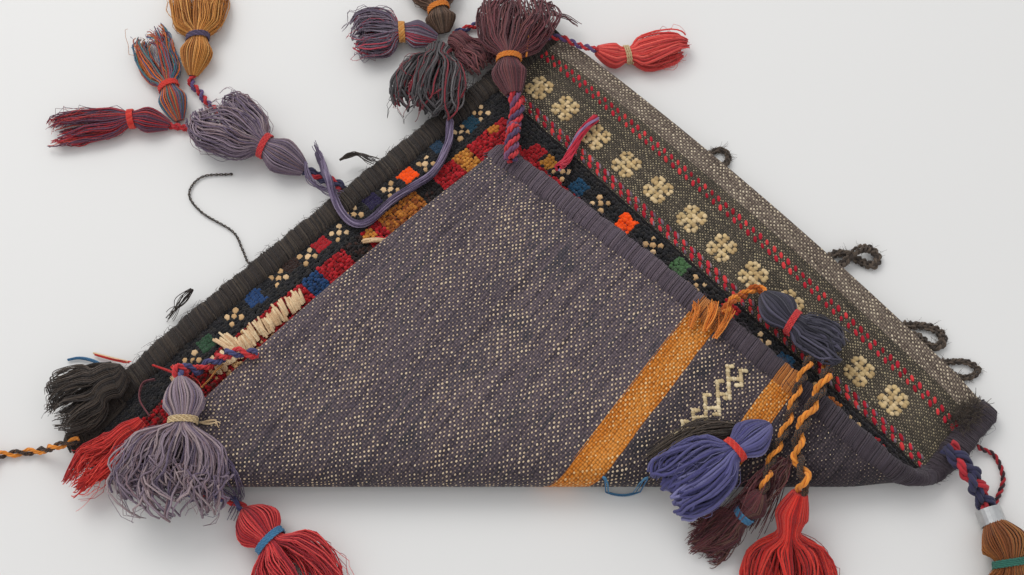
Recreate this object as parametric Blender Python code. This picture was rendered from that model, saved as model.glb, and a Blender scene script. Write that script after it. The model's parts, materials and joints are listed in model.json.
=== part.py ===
"""Hand-knotted wool bag with tassels, laid flat with one corner folded over its face.

The woven body and its two side bindings are modelled flat, in the bag's own axes, and are then bent round
the fold. The tassels and cords are laid on whatever is below them: floor, bag or folded corner.
Metres, +Z up. The origin is on the floor under the middle of the bag as it lies.
"""
import math

import bmesh
import bpy
from mathutils import Vector

# Woven body
CLOTH_WIDTH = 0.362            # side to side, along the mouth
CLOTH_DEPTH = 0.394            # bottom turn to mouth
BACK_THICKNESS = 0.0022        # plain weave
FACE_THICKNESS = 0.0050        # knotted pile on its ground
BAND_THICKNESS = 0.0028        # flat-woven band at the mouth
BAND_DEPTH = 0.050             # mouth edge to the inner red row
POCKET = 0.0050                # room between face and back
EDGE_POCKET = 0.0004           # the same where the sides are sewn shut
EDGE_FACE_THICKNESS = 0.0023
EDGE_LIFT = 0.0024             # the binding lifts the sewn edge by its own wall
EDGE_EASE = 0.022              # over this width the bag thins towards a sewn edge
RIGHT_BOW = 0.008              # the right side bulges
MOUTH_BOW = 0.007
BOTTOM_BOW = 0.009
CORNER_DRAW = 0.010            # the lower left corner is drawn in
DRAW_DEPTH = 0.115             # length of the side that it pulls on

# How the bag lies
BAG_TURN = math.radians(43.65)   # from +X to the way from bottom to mouth
CENTRE_X = 0.0034
CENTRE_ABOVE_FOLD = 0.0415
FOLD_BELOW_ORIGIN = 0.155
FOLD_CLEARANCE = 0.00015       # half of the space between the two pile sides
FOLD_STEPS = 8

# Side bindings: overcast rolls that hold both layers of cloth
BINDING_WIDTH = 0.016
BINDING_HEIGHT = 0.0104
BINDING_OVERHANG = 0.006       # past the edge of the cloth
BINDING_LAP = 0.008            # onto the cloth
BINDING_END = 0.003            # past the corner of the cloth
BINDING_FLOOR_GAP = 0.0001
SEAT_CLEARANCE = 0.0003        # between pieces that touch
EDGE_CLEARANCE = 0.0010        # between the cloth's edge and the binding's slot
OVERCAST_PITCH = 0.020
OVERCAST_DENT = 0.06           # share of the roll's size

# Mouth loops of goat-hair braid
LOOP_INSET = 0.007             # length of braid held inside the mouth

# What the tassels are made of
LIFT = 0.00035                 # between a laid piece and what it lies on
JOIN = 0.0004                  # between a cord's end and a tassel's neck
CORD_REACH = 0.0030            # how far beside a cord counts as below it
CORD_STEP = 0.0025
CORD_TOLERANCE = 0.11          # radii that a cord's straight runs may miss its curve by
TIE_WIDTH = 0.0050
TIE_THICKNESS = 0.0018
WAIST = (3, 4)                 # the sections of a bunch that the tie goes round
BUNCH_AHEAD = 0.004            # how far ahead a bunch feels what it lies on
BUNCH_STEEPEST = 0.9           # rise over run
CORD_STEEPEST = 1.3
LOBES = 6                      # deep furrows round a bunch of yarn
LOBE_DEPTH = 0.17
FERRULE_LENGTH = 0.009
FERRULE_WALL = 0.0009

HALF_WIDTH = CLOTH_WIDTH / 2
HALF_DEPTH = CLOTH_DEPTH / 2
BAND_START = HALF_DEPTH - BAND_DEPTH
BAG_THICKNESS = BACK_THICKNESS + POCKET + FACE_THICKNESS
BAND_TOP = BACK_THICKNESS + POCKET + BAND_THICKNESS
FOLD_RADIUS = BAG_THICKNESS + FOLD_CLEARANCE
FLAP_TOP = 2 * FOLD_RADIUS
FOLD_EDGE_Y = -FOLD_BELOW_ORIGIN
FOLD_START_Y = FOLD_EDGE_Y + FOLD_RADIUS
CENTRE = Vector((CENTRE_X, FOLD_EDGE_Y + CENTRE_ABOVE_FOLD))
ACROSS = Vector((math.sin(BAG_TURN), -math.cos(BAG_TURN)))
TO_MOUTH = Vector((math.cos(BAG_TURN), math.sin(BAG_TURN)))

COLOURS = {
    "purple_grey_wool": (0.36, 0.31, 0.35),
    "dark_goat_hair": (0.16, 0.14, 0.12),
    "navy_wool": (0.20, 0.19, 0.24),
    "ochre_wool": (0.70, 0.44, 0.16),
    "mixed_wool": (0.55, 0.40, 0.22),
    "crimson_wool": (0.60, 0.10, 0.13),
    "plum_wool": (0.36, 0.30, 0.36),
    "charcoal_wool": (0.22, 0.22, 0.24),
    "brown_wool": (0.26, 0.20, 0.17),
    "burgundy_wool": (0.32, 0.15, 0.17),
    "scarlet_wool": (0.75, 0.17, 0.17),
    "lilac_wool": (0.38, 0.34, 0.58),
    "cream_wool": (0.80, 0.68, 0.50),
    "blue_wool": (0.24, 0.38, 0.56),
    "orange_wool": (0.82, 0.47, 0.14),
    "teal_wool": (0.25, 0.45, 0.40),
    "tinned_metal": (0.62, 0.62, 0.60),
}


def clear_scene():
    for item in list(bpy.data.objects):
        bpy.data.objects.remove(item)


def material(name):
    if name in bpy.data.materials:
        return bpy.data.materials[name]
    made = bpy.data.materials.new(name)
    made.use_nodes = True
    shader = made.node_tree.nodes["Principled BSDF"]
    shader.inputs["Base Color"].default_value = (*COLOURS[name], 1.0)
    is_metal = name == "tinned_metal"
    shader.inputs["Roughness"].default_value = 0.4 if is_metal else 0.95
    shader.inputs["Metallic"].default_value = 1.0 if is_metal else 0.0
    return made


def add_object(name, mesh, material_name):
    mesh.materials.append(material(material_name))
    made = bpy.data.objects.new(name, mesh)
    parts.objects.link(made)
    return made


# The flat bag: its outline and its heights

def smooth_step(value):
    value = min(max(value, 0.0), 1.0)
    return value * value * (3 - 2 * value)


def outline(across, up):
    """Move a point of the plain rectangle onto the bag's softer outline."""
    middle_up = 1 - (up / HALF_DEPTH) ** 2
    middle_across = 1 - (across / HALF_WIDTH) ** 2
    right = RIGHT_BOW * max(across / HALF_WIDTH, 0.0) * middle_up
    drawn = max(0.0, -up - HALF_DEPTH + DRAW_DEPTH) / DRAW_DEPTH
    left = CORNER_DRAW * max(-across / HALF_WIDTH, 0.0) * drawn ** 2
    in_band = max(0.0, up - BAND_START) / BAND_DEPTH
    mouth = MOUTH_BOW * in_band * middle_across
    bottom = BOTTOM_BOW * max(-up / HALF_DEPTH, 0.0) * middle_across
    return across + right + left, up + mouth - bottom


def to_plan(across, up):
    """A point of the flat bag in the object's X and Y."""
    return CENTRE + across * ACROSS + up * TO_MOUTH


def to_bag(x, y):
    offset = Vector((x, y)) - CENTRE
    return offset.dot(ACROSS), offset.dot(TO_MOUTH)


def edge_ease(across):
    """0 under the side bindings, 1 where the bag has its full thickness."""
    return smooth_step((HALF_WIDTH - abs(across) - BINDING_LAP - EDGE_CLEARANCE) / EDGE_EASE)


def layer_heights(across, in_band):
    """Heights of the back's two faces and the face cloth's two faces, from the floor up."""
    ease = edge_ease(across)
    face = BAND_THICKNESS if in_band else FACE_THICKNESS
    underside = EDGE_LIFT * (1 - ease)
    back_top = underside + BACK_THICKNESS
    face_bottom = back_top + EDGE_POCKET + (POCKET - EDGE_POCKET) * ease
    face_top = face_bottom + EDGE_FACE_THICKNESS + (face - EDGE_FACE_THICKNESS) * ease
    return underside, back_top, face_bottom, face_top


# Bending round the fold

def round_fold(point, step):
    """The point's place on bend line number step, at its own X and its own height in the cloth."""
    angle = math.pi * step / FOLD_STEPS
    radius = FOLD_RADIUS - point.z
    return Vector((point.x, FOLD_START_Y - radius * math.sin(angle), FOLD_RADIUS - radius * math.cos(angle)))


def folded(point):
    """Take a point of the flat bag to where it lies once the lower corner is folded over."""
    past = FOLD_START_Y - point.y
    if past <= 0:
        return point.copy()
    steps = past / (FOLD_RADIUS * math.pi / FOLD_STEPS)
    if steps >= FOLD_STEPS:
        straight = past - FOLD_RADIUS * math.pi
        return round_fold(point, FOLD_STEPS) + Vector((0, straight, 0))
    first = math.floor(steps)
    return round_fold(point, first).lerp(round_fold(point, first + 1), steps - first)


def bend(mesh_tool):
    """Cut the flat solid along the lines that the bend needs, then bend it."""
    for step in range(FOLD_STEPS + 1):
        line = FOLD_START_Y - FOLD_RADIUS * math.pi * step / FOLD_STEPS
        everything = mesh_tool.verts[:] + mesh_tool.edges[:] + mesh_tool.faces[:]
        bmesh.ops.bisect_plane(mesh_tool, geom=everything, plane_co=(0, line, 0), plane_no=(0, 1, 0), dist=1e-6)
    bmesh.ops.triangulate(mesh_tool, faces=mesh_tool.faces[:])
    for vertex in mesh_tool.verts:
        vertex.co = folded(vertex.co)


# Closed solids from rows of points

def add_strip(mesh_tool, first, second, closed):
    count = len(first)
    for index in range(count if closed else count - 1):
        after = (index + 1) % count
        mesh_tool.faces.new((first[index], first[after], second[after], second[index]))


def skin(sections, caps=True):
    """Loft through closed sections, in a ring if there are no caps."""
    mesh_tool = bmesh.new()
    rings = [[mesh_tool.verts.new(point) for point in section] for section in sections]
    for before, after in zip(rings, rings[1:]):
        add_strip(mesh_tool, before, after, closed=True)
    if caps:
        mesh_tool.faces.new(rings[0])
        mesh_tool.faces.new(list(reversed(rings[-1])))
    else:
        add_strip(mesh_tool, rings[-1], rings[0], closed=True)
    return mesh_tool


def thick_sheet(outer, inner):
    """A sheet with thickness, from two equal grids of points."""
    mesh_tool = bmesh.new()
    outside = [[mesh_tool.verts.new(point) for point in row] for row in outer]
    inside = [[mesh_tool.verts.new(point) for point in row] for row in inner]
    for grid in (outside, inside):
        for before, after in zip(grid, grid[1:]):
            add_strip(mesh_tool, before, after, closed=False)
    for row in (0, -1):
        add_strip(mesh_tool, outside[row], inside[row], closed=False)
    for column in (0, -1):
        add_strip(mesh_tool, [row[column] for row in outside], [row[column] for row in inside], closed=False)
    return mesh_tool


def to_mesh(mesh_tool, name, smooth=True):
    bmesh.ops.recalc_face_normals(mesh_tool, faces=mesh_tool.faces[:])
    mesh = bpy.data.meshes.new(name)
    mesh_tool.to_mesh(mesh)
    mesh_tool.free()
    if smooth:
        mesh.shade_smooth()
        mesh.set_sharp_from_angle(angle=math.radians(50))
    return mesh


# Woven body: back, bottom turn and face in one length

def bag_profile(across):
    """Outer and inner line of the cloth from the back's mouth edge round to the face's mouth edge."""
    underside, back_top, face_bottom, face_top = layer_heights(across, in_band=False)
    _, _, _, band_top = layer_heights(across, in_band=True)
    turn_radius = (face_top - underside) / 2
    turn_start = -HALF_DEPTH + turn_radius
    levels = [HALF_DEPTH, BAND_START + 0.001, BAND_START - 0.003, HALF_DEPTH / 2, 0.03, -0.03, -0.09, -0.15,
              turn_start]
    outer = [(up, underside) for up in levels]
    inner = [(up, back_top) for up in levels]
    turn_steps = 6
    for step in range(1, turn_steps):
        angle = math.pi * step / turn_steps
        thickness = BACK_THICKNESS + (face_top - face_bottom - BACK_THICKNESS) * step / turn_steps
        inside_radius = max(turn_radius - thickness, 0.0001)
        middle = underside + turn_radius
        outer.append((turn_start - turn_radius * math.sin(angle), middle - turn_radius * math.cos(angle)))
        inner.append((turn_start - inside_radius * math.sin(angle), middle - inside_radius * math.cos(angle)))
    for up in reversed(levels):
        outer.append((up, band_top if up > BAND_START else face_top))
        inner.append((up, face_bottom))
    return outer, inner


def make_woven_cloth():
    lap_line = HALF_WIDTH - BINDING_LAP - EDGE_CLEARANCE
    half_lines = [HALF_WIDTH, lap_line, lap_line - 0.3 * EDGE_EASE, lap_line - 0.6 * EDGE_EASE,
                  lap_line - EDGE_EASE, 0.095, 0.035]
    lines = half_lines + [-line for line in reversed(half_lines)]
    outer, inner = [], []
    for across in lines:
        outer_profile, inner_profile = bag_profile(across)
        for profile, rows in ((outer_profile, outer), (inner_profile, inner)):
            row = []
            for up, height in profile:
                plan = to_plan(*outline(across, up))
                row.append(Vector((plan.x, plan.y, height)))
            rows.append(row)
    mesh_tool = thick_sheet(outer, inner)
    bend(mesh_tool)
    add_object("woven_cloth", to_mesh(mesh_tool, "woven_cloth"), "purple_grey_wool")


# Side bindings

def binding_section(dent):
    """Points (out from the cloth edge, height) of a roll with a slot for both layers of cloth."""
    centre_out = BINDING_OVERHANG - BINDING_WIDTH / 2
    centre_height = BINDING_FLOOR_GAP + BINDING_HEIGHT / 2
    lip_share = (centre_out + BINDING_LAP) / (BINDING_WIDTH / 2)
    squareness = 2 / 3
    lip_angle = math.acos(lip_share ** (1 / squareness))
    arc_steps = 8
    points = []
    for step in range(arc_steps + 1):
        angle = (math.pi - lip_angle) - (2 * math.pi - 2 * lip_angle) * step / arc_steps
        cosine, sine = math.cos(angle), math.sin(angle)
        out = math.copysign(abs(cosine) ** squareness, cosine) * BINDING_WIDTH / 2
        height = math.copysign(abs(sine) ** squareness, sine) * BINDING_HEIGHT / 2
        is_lip = step in (0, arc_steps)
        scale = 1.0 if is_lip else 1 - dent
        points.append((centre_out + out * scale, centre_height + height * scale))
    stack = EDGE_LIFT + BACK_THICKNESS + EDGE_POCKET + EDGE_FACE_THICKNESS
    slot_bottom = EDGE_LIFT - SEAT_CLEARANCE
    slot_top = stack + SEAT_CLEARANCE
    slot_end = EDGE_CLEARANCE
    points += [(-BINDING_LAP, slot_bottom), (slot_end, slot_bottom), (slot_end, slot_top), (-BINDING_LAP, slot_top)]
    return points


def make_binding(name, side, material_name):
    """side is -1 for the left side of the bag and 1 for the right."""
    length = CLOTH_DEPTH + 2 * BINDING_END
    count = 2 * round(length / OVERCAST_PITCH)
    sections = []
    for index in range(count + 1):
        up = -length / 2 + length * index / count
        inside_up = min(max(up, -HALF_DEPTH), HALF_DEPTH)
        edge_across, edge_up = outline(side * HALF_WIDTH, inside_up)
        edge_up += up - inside_up
        dent = OVERCAST_DENT * (index % 2)
        section = []
        for out, height in binding_section(dent):
            plan = to_plan(edge_across + side * out, edge_up)
            section.append(Vector((plan.x, plan.y, height)))
        sections.append(section)
    mesh_tool = skin(sections)
    bend(mesh_tool)
    add_object(name, to_mesh(mesh_tool, name), material_name)


# Laying things down

def inside_edges(x, y):
    """How far a plan point is inside the nearer side of the flat bag; negative outside the bag."""
    across, up = to_bag(x, y)
    held_across = min(max(across, -HALF_WIDTH), HALF_WIDTH)
    held_up = min(max(up, -HALF_DEPTH), HALF_DEPTH)
    left_edge, _ = outline(-HALF_WIDTH, held_up)
    right_edge, _ = outline(HALF_WIDTH, held_up)
    inside = min(across - left_edge, right_edge - across)
    past_end = BINDING_END if inside < BINDING_LAP else 0.0
    _, mouth_edge = outline(held_across, HALF_DEPTH)
    _, bottom_edge = outline(held_across, -HALF_DEPTH)
    if not bottom_edge - past_end < up < mouth_edge + past_end:
        return -1.0
    return inside


def surface_height(x, y):
    """Height of the top of the laid bag, or 0 on the floor."""
    if y < FOLD_EDGE_Y:
        return 0.0
    round_the_fold = FOLD_RADIUS * math.pi + max(y - FOLD_START_Y, 0.0)
    if inside_edges(x, FOLD_START_Y - round_the_fold) > -BINDING_OVERHANG:
        return FLAP_TOP
    inside = inside_edges(x, max(y, FOLD_START_Y))
    if inside < -BINDING_OVERHANG:
        return 0.0
    _, up = to_bag(x, y)
    top = layer_heights(HALF_WIDTH - max(inside, 0.0), in_band=up > BAND_START + 0.006)[3]
    on_binding = inside < BINDING_LAP
    return BINDING_FLOOR_GAP + BINDING_HEIGHT if on_binding else top


def lay_height(x, y, reach):
    heights = [surface_height(x, y)]
    for step in range(8):
        angle = math.pi * step / 4
        heights.append(surface_height(x + reach * math.cos(angle), y + reach * math.sin(angle)))
    return max(heights)


def bunch_floor(place, forward, half):
    """What a bunch lies on at one of its sections: mostly what is beside it, and little ahead of it."""
    sideways = Vector((forward.y, -forward.x))
    heights = []
    for beside in (-0.8, -0.4, 0.0, 0.4, 0.8):
        for ahead in (-BUNCH_AHEAD, 0.0, BUNCH_AHEAD):
            point = place + sideways * (half * beside) + forward * ahead
            heights.append(surface_height(point.x, point.y))
    return max(heights)


def smooth_route(points, samples_per_span=12):
    """Catmull-Rom curve through the points, which may be plan points or points in space."""
    points = [Vector(point) for point in points]
    ends = [2 * points[0] - points[1]] + points + [2 * points[-1] - points[-2]]
    route = []
    for before, start, end, after in zip(ends, ends[1:], ends[2:], ends[3:]):
        for step in range(samples_per_span):
            t = step / samples_per_span
            route.append(0.5 * (2 * start + (end - before) * t
                                + (2 * before - 5 * start + 4 * end - after) * t * t
                                + (3 * start - before - 3 * end + after) * t ** 3))
    route.append(points[-1])
    return route


def route_length(route):
    return sum((after - before).length for before, after in zip(route, route[1:]))


def along(route, distance):
    """Point at a distance along the route."""
    for before, after in zip(route, route[1:]):
        step = (after - before).length
        if distance <= step:
            return before.lerp(after, distance / step)
        distance -= step
    return route[-1].copy()


def ramped(heights, places, steepest):
    """Let a piece hang off an edge no steeper than it can bend."""
    steps = [(after - before).length for before, after in zip(places, places[1:])]
    for index, step in enumerate(steps):
        heights[index + 1] = max(heights[index + 1], heights[index] - steepest * step)
    for index in range(len(steps) - 1, -1, -1):
        heights[index] = max(heights[index], heights[index + 1] - steepest * steps[index])
    return heights


def soften(heights, passes=2):
    """Let a laid piece bridge sharp steps; it is never lower than what it lies on."""
    for _ in range(passes):
        heights = [heights[0]] + [
            max(here, (before + after) / 2)
            for before, here, after in zip(heights, heights[1:], heights[2:])
        ] + [heights[-1]]
    return heights


# Tassels: a bunch of looped yarn, its tie and its cord

def bunch_stations(shape):
    """Distance from the neck, half width, half height and furrow depth at each section."""
    head, skirt = shape["head_length"], shape["skirt_length"]
    head_half, skirt_half = shape["head_width"] / 2, shape["skirt_width"] / 2
    neck_half = shape["neck_radius"]
    waist_half = head_half * shape.get("waist", 0.62)
    flat = shape.get("flatness", 0.45)
    high_head = shape.get("head_flatness", 0.82)
    tip_half = skirt_half * shape.get("tip", 0.8)
    groove = TIE_WIDTH / 2 + SEAT_CLEARANCE
    deep = LOBE_DEPTH
    stations = [(0.0, neck_half, neck_half, 0.0),
                (0.30 * head, 0.80 * head_half, 0.80 * head_half * high_head, deep / 2),
                (0.60 * head, head_half, head_half * high_head, deep / 2)]
    waist_high = waist_half * high_head
    stations += [(head - groove, waist_half, waist_high, 0.0), (head + groove, waist_half, waist_high, 0.0)]
    for share, width_share, height_share in ((0.25, 0.70, 0.95), (0.60, 1.0, 1.0), (0.88, 1.0, 0.8)):
        half = waist_half + (skirt_half - waist_half) * width_share
        high = max(waist_high, skirt_half * flat) * height_share
        stations.append((head + skirt * share, half, min(high, half), deep))
    stations.append((head + skirt, tip_half, skirt_half * flat * 0.45, deep))
    return stations


def hang_waist(heights, stations):
    """The waist spans from head to skirt, clear of the floor, which leaves room for the tie under it."""
    head, skirt = WAIST[0] - 1, WAIST[1] + 1
    for index in WAIST:
        share = (stations[index][0] - stations[head][0]) / (stations[skirt][0] - stations[head][0])
        spanned = heights[head] + (heights[skirt] - heights[head]) * share
        heights[index] = max(spanned, heights[index] + TIE_THICKNESS + SEAT_CLEARANCE)
    return heights


def section_frame(centres, index):
    """The neck never points up, so that a cord can come to it flat; both waist sections are parallel."""
    before = centres[max(index - 1, 0)]
    after = centres[min(index + 1, len(centres) - 1)]
    if index in WAIST:
        before, after = centres[WAIST[0]], centres[WAIST[1]]
    forward = (after - before).normalized()
    if index == 0:
        forward = Vector((forward.x, forward.y, min(forward.z, 0.0))).normalized()
    sideways = forward.cross(Vector((0, 0, 1))).normalized()
    return forward, sideways, sideways.cross(forward)


def make_tassel(name, material_name, route, shape, tie_material=None):
    """Lay a bunch along a plan route from neck to tip. Gives the neck's place and outward direction."""
    stations = bunch_stations(shape)
    plan_route = smooth_route(route)
    length = stations[-1][0]
    scale = route_length(plan_route) / length
    places = [along(plan_route, station[0] * scale) for station in stations]
    heights = []
    for index, (place, (distance, half, high, _)) in enumerate(zip(places, stations)):
        forward = (places[min(index + 1, len(places) - 1)] - places[max(index - 1, 0)]).normalized()
        lift = LIFT + shape.get("lift", 0.0) + shape.get("tip_lift", 0.0) * distance / length
        heights.append(bunch_floor(place, forward, half) + high + lift)
    neck = places[0]
    neck_floor = lay_height(neck.x, neck.y, shape.get("neck_reach", 0.0))
    heights[0] = max(heights[0], neck_floor + stations[0][2] + LIFT, heights[1] - stations[1][2] * 0.45)
    heights = hang_waist(soften(ramped(heights, places, BUNCH_STEEPEST)), stations)
    centres = [Vector((place.x, place.y, height)) for place, height in zip(places, heights)]
    points_round = 2 * LOBES
    sections = []
    for index, (_, half, high, furrow) in enumerate(stations):
        _, sideways, upward = section_frame(centres, index)
        section = []
        for point in range(points_round):
            angle = 2 * math.pi * point / points_round
            lobe = 1 - furrow * (point % 2)
            section.append(centres[index] + sideways * (half * lobe * math.cos(angle))
                           + upward * (high * lobe * math.sin(angle)))
        sections.append(section)
    add_object(name, to_mesh(skin(sections), name), material_name)
    if tie_material:
        make_tie(name.replace("tassel", "tie"), tie_material, centres, stations)
    return centres[0], section_frame(centres, 0)[0]


def make_tie(name, material_name, centres, stations):
    """Yarn wound round the waist, as one band."""
    first, second = WAIST
    middle = (centres[first] + centres[second]) / 2
    forward = (centres[second] - centres[first]).normalized()
    sideways = forward.cross(Vector((0, 0, 1))).normalized()
    upward = sideways.cross(forward)
    half, high = stations[first][1], stations[first][2]
    inside = SEAT_CLEARANCE * 1.2
    outside = inside + TIE_THICKNESS
    profile = [(inside, -0.5), (inside, 0.5), (outside * 0.8, 0.5), (outside, 0.0), (outside * 0.8, -0.5)]
    points_round = 2 * LOBES
    sections = []
    for point in range(points_round):
        angle = 2 * math.pi * point / points_round
        section = []
        for out, along_share in profile:
            section.append(middle + forward * (along_share * (TIE_WIDTH - 2 * SEAT_CLEARANCE))
                           + sideways * ((half + out) * math.cos(angle))
                           + upward * ((high + out) * math.sin(angle)))
        sections.append(section)
    add_object(name, to_mesh(skin(sections, caps=False), name), material_name)


def make_cord(name, material_name, points, radius, start_height=None, end=None, lifts=None, on_floor=False):
    """Lay a cord along plan points. end is (place, direction) of the neck that it meets."""
    plan_route = smooth_route(points)
    length = route_length(plan_route)
    count = max(round(length / CORD_STEP), 12)
    places, heights = [], []
    for index in range(count + 1):
        distance = length * index / count
        place = along(plan_route, distance)
        lift = LIFT
        if lifts:
            lift += lifts(distance / length)
        below = 0.0 if on_floor else lay_height(place.x, place.y, radius + CORD_REACH)
        places.append(place)
        heights.append(below + radius + lift)
    if start_height is not None:
        heights[0] = start_height
    if end:
        heights[-1] = end[0].z
    heights = soften(ramped(heights, places, CORD_STEEPEST), passes=6)
    centres = [Vector((place.x, place.y, height)) for place, height in zip(places, heights)]
    if end:
        place, direction = end
        approach = place - direction * (JOIN + 2.2 * radius)
        centres = [centre for centre in centres if (centre - place).length > 4.5 * radius]
        centres = thin_out(centres + [approach], CORD_TOLERANCE * radius) + [place - direction * JOIN]
    else:
        centres = thin_out(centres, CORD_TOLERANCE * radius)
    make_tube(name, material_name, centres, radius)


def thin_out(centres, tolerance):
    """Keep only the points that the line needs."""
    if len(centres) < 3:
        return centres
    start, end = centres[0], centres[-1]
    misses = []
    for centre in centres[1:-1]:
        share = (centre - start).dot(end - start) / (end - start).length_squared
        nearest = start.lerp(end, min(max(share, 0.0), 1.0))
        misses.append((centre - nearest).length)
    worst = max(misses)
    if worst < tolerance:
        return [start, end]
    split = misses.index(worst) + 1
    return thin_out(centres[:split + 1], tolerance)[:-1] + thin_out(centres[split:], tolerance)


def make_tube(name, material_name, centres, radius):
    curve = bpy.data.curves.new(name, "CURVE")
    curve.dimensions = "3D"
    curve.bevel_depth = radius
    curve.bevel_resolution = 2
    curve.use_fill_caps = True
    curve.twist_mode = "MINIMUM"
    spline = curve.splines.new("POLY")
    spline.points.add(len(centres) - 1)
    for point, centre in zip(spline.points, centres):
        point.co = (*centre, 1.0)
    add_object(name, curve, material_name)


def mm(*points):
    """Points given in millimetres."""
    return [tuple(value / 1000 for value in point) for point in points]


# Mouth loops

def make_mouth_loop(number, radius, points):
    """A braid that leaves the mouth, turns round and goes back in. Its points are (across, out, lift)."""
    inside_height = BACK_THICKNESS + POCKET / 2
    start, end = points[0][0], points[-1][0]
    inside = [(start, -LOOP_INSET, inside_height), (start, 0.0, inside_height)]
    outside = [(across, out, radius + LIFT + lift) for across, out, lift in points[1:-1]]
    back_inside = [(end, 0.0, inside_height), (end, -LOOP_INSET, inside_height)]
    _, mouth_edge = outline((start + end) / 2, HALF_DEPTH)
    places = []
    for across, out, height in inside + outside + back_inside:
        plan = to_plan(across, mouth_edge + out)
        places.append(Vector((plan.x, plan.y, height)))
    route = smooth_route(places, samples_per_span=3)
    make_tube(f"mouth_loop_{number}", "dark_goat_hair", thin_out(route, CORD_TOLERANCE * radius), radius)


def make_mouth_loops():
    make_mouth_loop(1, 0.0017, mm((-47.3, 0, 0), (-48, 5.5, 0), (-45.6, 10.3, 0), (-40.4, 11.2, 0), (-36.8, 7, 0),
                                  (-36.3, 0, 0)))
    make_mouth_loop(2, 0.0022, mm((52, 0, 0), (52, 7, 0), (57.5, 12.5, 0), (66.5, 14.5, 0), (73.5, 18, 0),
                                  (72, 24, 0), (65.5, 24.5, 1.2), (61.5, 18.5, 4.6), (60.5, 13, 4.9),
                                  (60.5, 7.5, 2.0), (60, 0, 0)))
    make_mouth_loop(3, 0.0022, mm((110, 0, 0), (115.5, 7, 0), (123.5, 13.5, 0), (131.5, 14.5, 0), (135, 9, 0),
                                  (131, 3.6, 0), (124, 3.8, 0), (119, 0, 0)))
    make_mouth_loop(4, 0.0017, mm((140.5, 0, 0), (144.5, 5.6, 0), (152, 13.4, 0), (160, 14.6, 0), (159.5, 7.5, 0),
                                  (154, 2.2, 0), (148.5, 0, 0)))


# Ferrule on the thick braid

def make_ferrule(place, direction, braid_radius):
    inside = braid_radius + SEAT_CLEARANCE
    outside = inside + FERRULE_WALL
    sideways = direction.cross(Vector((0, 0, 1))).normalized()
    upward = sideways.cross(direction)
    sections = []
    steps = 20
    for step in range(steps):
        angle = 2 * math.pi * step / steps
        spoke = sideways * math.cos(angle) + upward * math.sin(angle)
        section = []
        for radius, share in ((inside, -0.5), (inside, 0.5), (outside, 0.5), (outside, -0.5)):
            section.append(place + direction * (share * FERRULE_LENGTH) + spoke * radius)
        sections.append(section)
    add_object("braid_ferrule", to_mesh(skin(sections, caps=False), "braid_ferrule"), "tinned_metal")


# The groups of tassels

def make_left_group():
    grey = dict(head_length=0.026, head_width=0.023, skirt_length=0.042, skirt_width=0.044, neck_radius=0.0042,
                tip_lift=0.0052)
    neck = make_tassel("left_grey_tassel", "plum_wool", mm((-135, 51), (-160, 64), (-196, 88)), grey, "crimson_wool")
    make_cord("left_braid", "navy_wool", [*side_points(-1, 0.022, 0.0038), *mm((-121, 44), (-135, 51))], 0.0038,
              start_height=BINDING_HEIGHT / 2, end=neck, on_floor=True)
    red = dict(head_length=0.023, head_width=0.017, skirt_length=0.050, skirt_width=0.025, neck_radius=0.0030)
    neck = make_tassel("left_red_tassel", "crimson_wool", mm((-223, 84), (-246, 86), (-296, 79)), red, "scarlet_wool")
    make_cord("left_red_cord", "navy_wool", mm((-186, 84), (-205, 82), (-223, 84)), 0.0027, end=neck)
    mixed = dict(head_length=0.021, head_width=0.018, skirt_length=0.043, skirt_width=0.027, neck_radius=0.0030)
    make_tassel("left_mixed_tassel", "mixed_wool", mm((-216.6, 87.7), (-226, 113), (-243, 154)), mixed, "scarlet_wool")
    ochre = dict(head_length=0.025, head_width=0.021, skirt_length=0.045, skirt_width=0.038, neck_radius=0.0030)
    neck = make_tassel("left_ochre_tassel", "ochre_wool", mm((-211, 121), (-209, 145), (-214, 191)), ochre, "plum_wool")
    make_cord("left_ochre_cord", "navy_wool", mm((-186.6, 89.2), (-202, 103), (-211, 121)), 0.0027, end=neck)
    make_cord("left_loose_cord", "dark_goat_hair",
              [*side_points(-1, -0.052, 0.0020),
               *mm((-170, -2), (-177, 10), (-197, 23), (-206, 36), (-199, 48), (-180, 50))],
              0.0010, start_height=BINDING_HEIGHT / 2, on_floor=True)


def side_points(side, up, radius):
    """Two plan points with which a cord starts square to a side binding."""
    across, along_side = outline(side * HALF_WIDTH, up)
    start = BINDING_OVERHANG + SEAT_CLEARANCE
    return [tuple(to_plan(across + side * out, along_side)) for out in (start, start + 1.6 * radius)]


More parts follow.
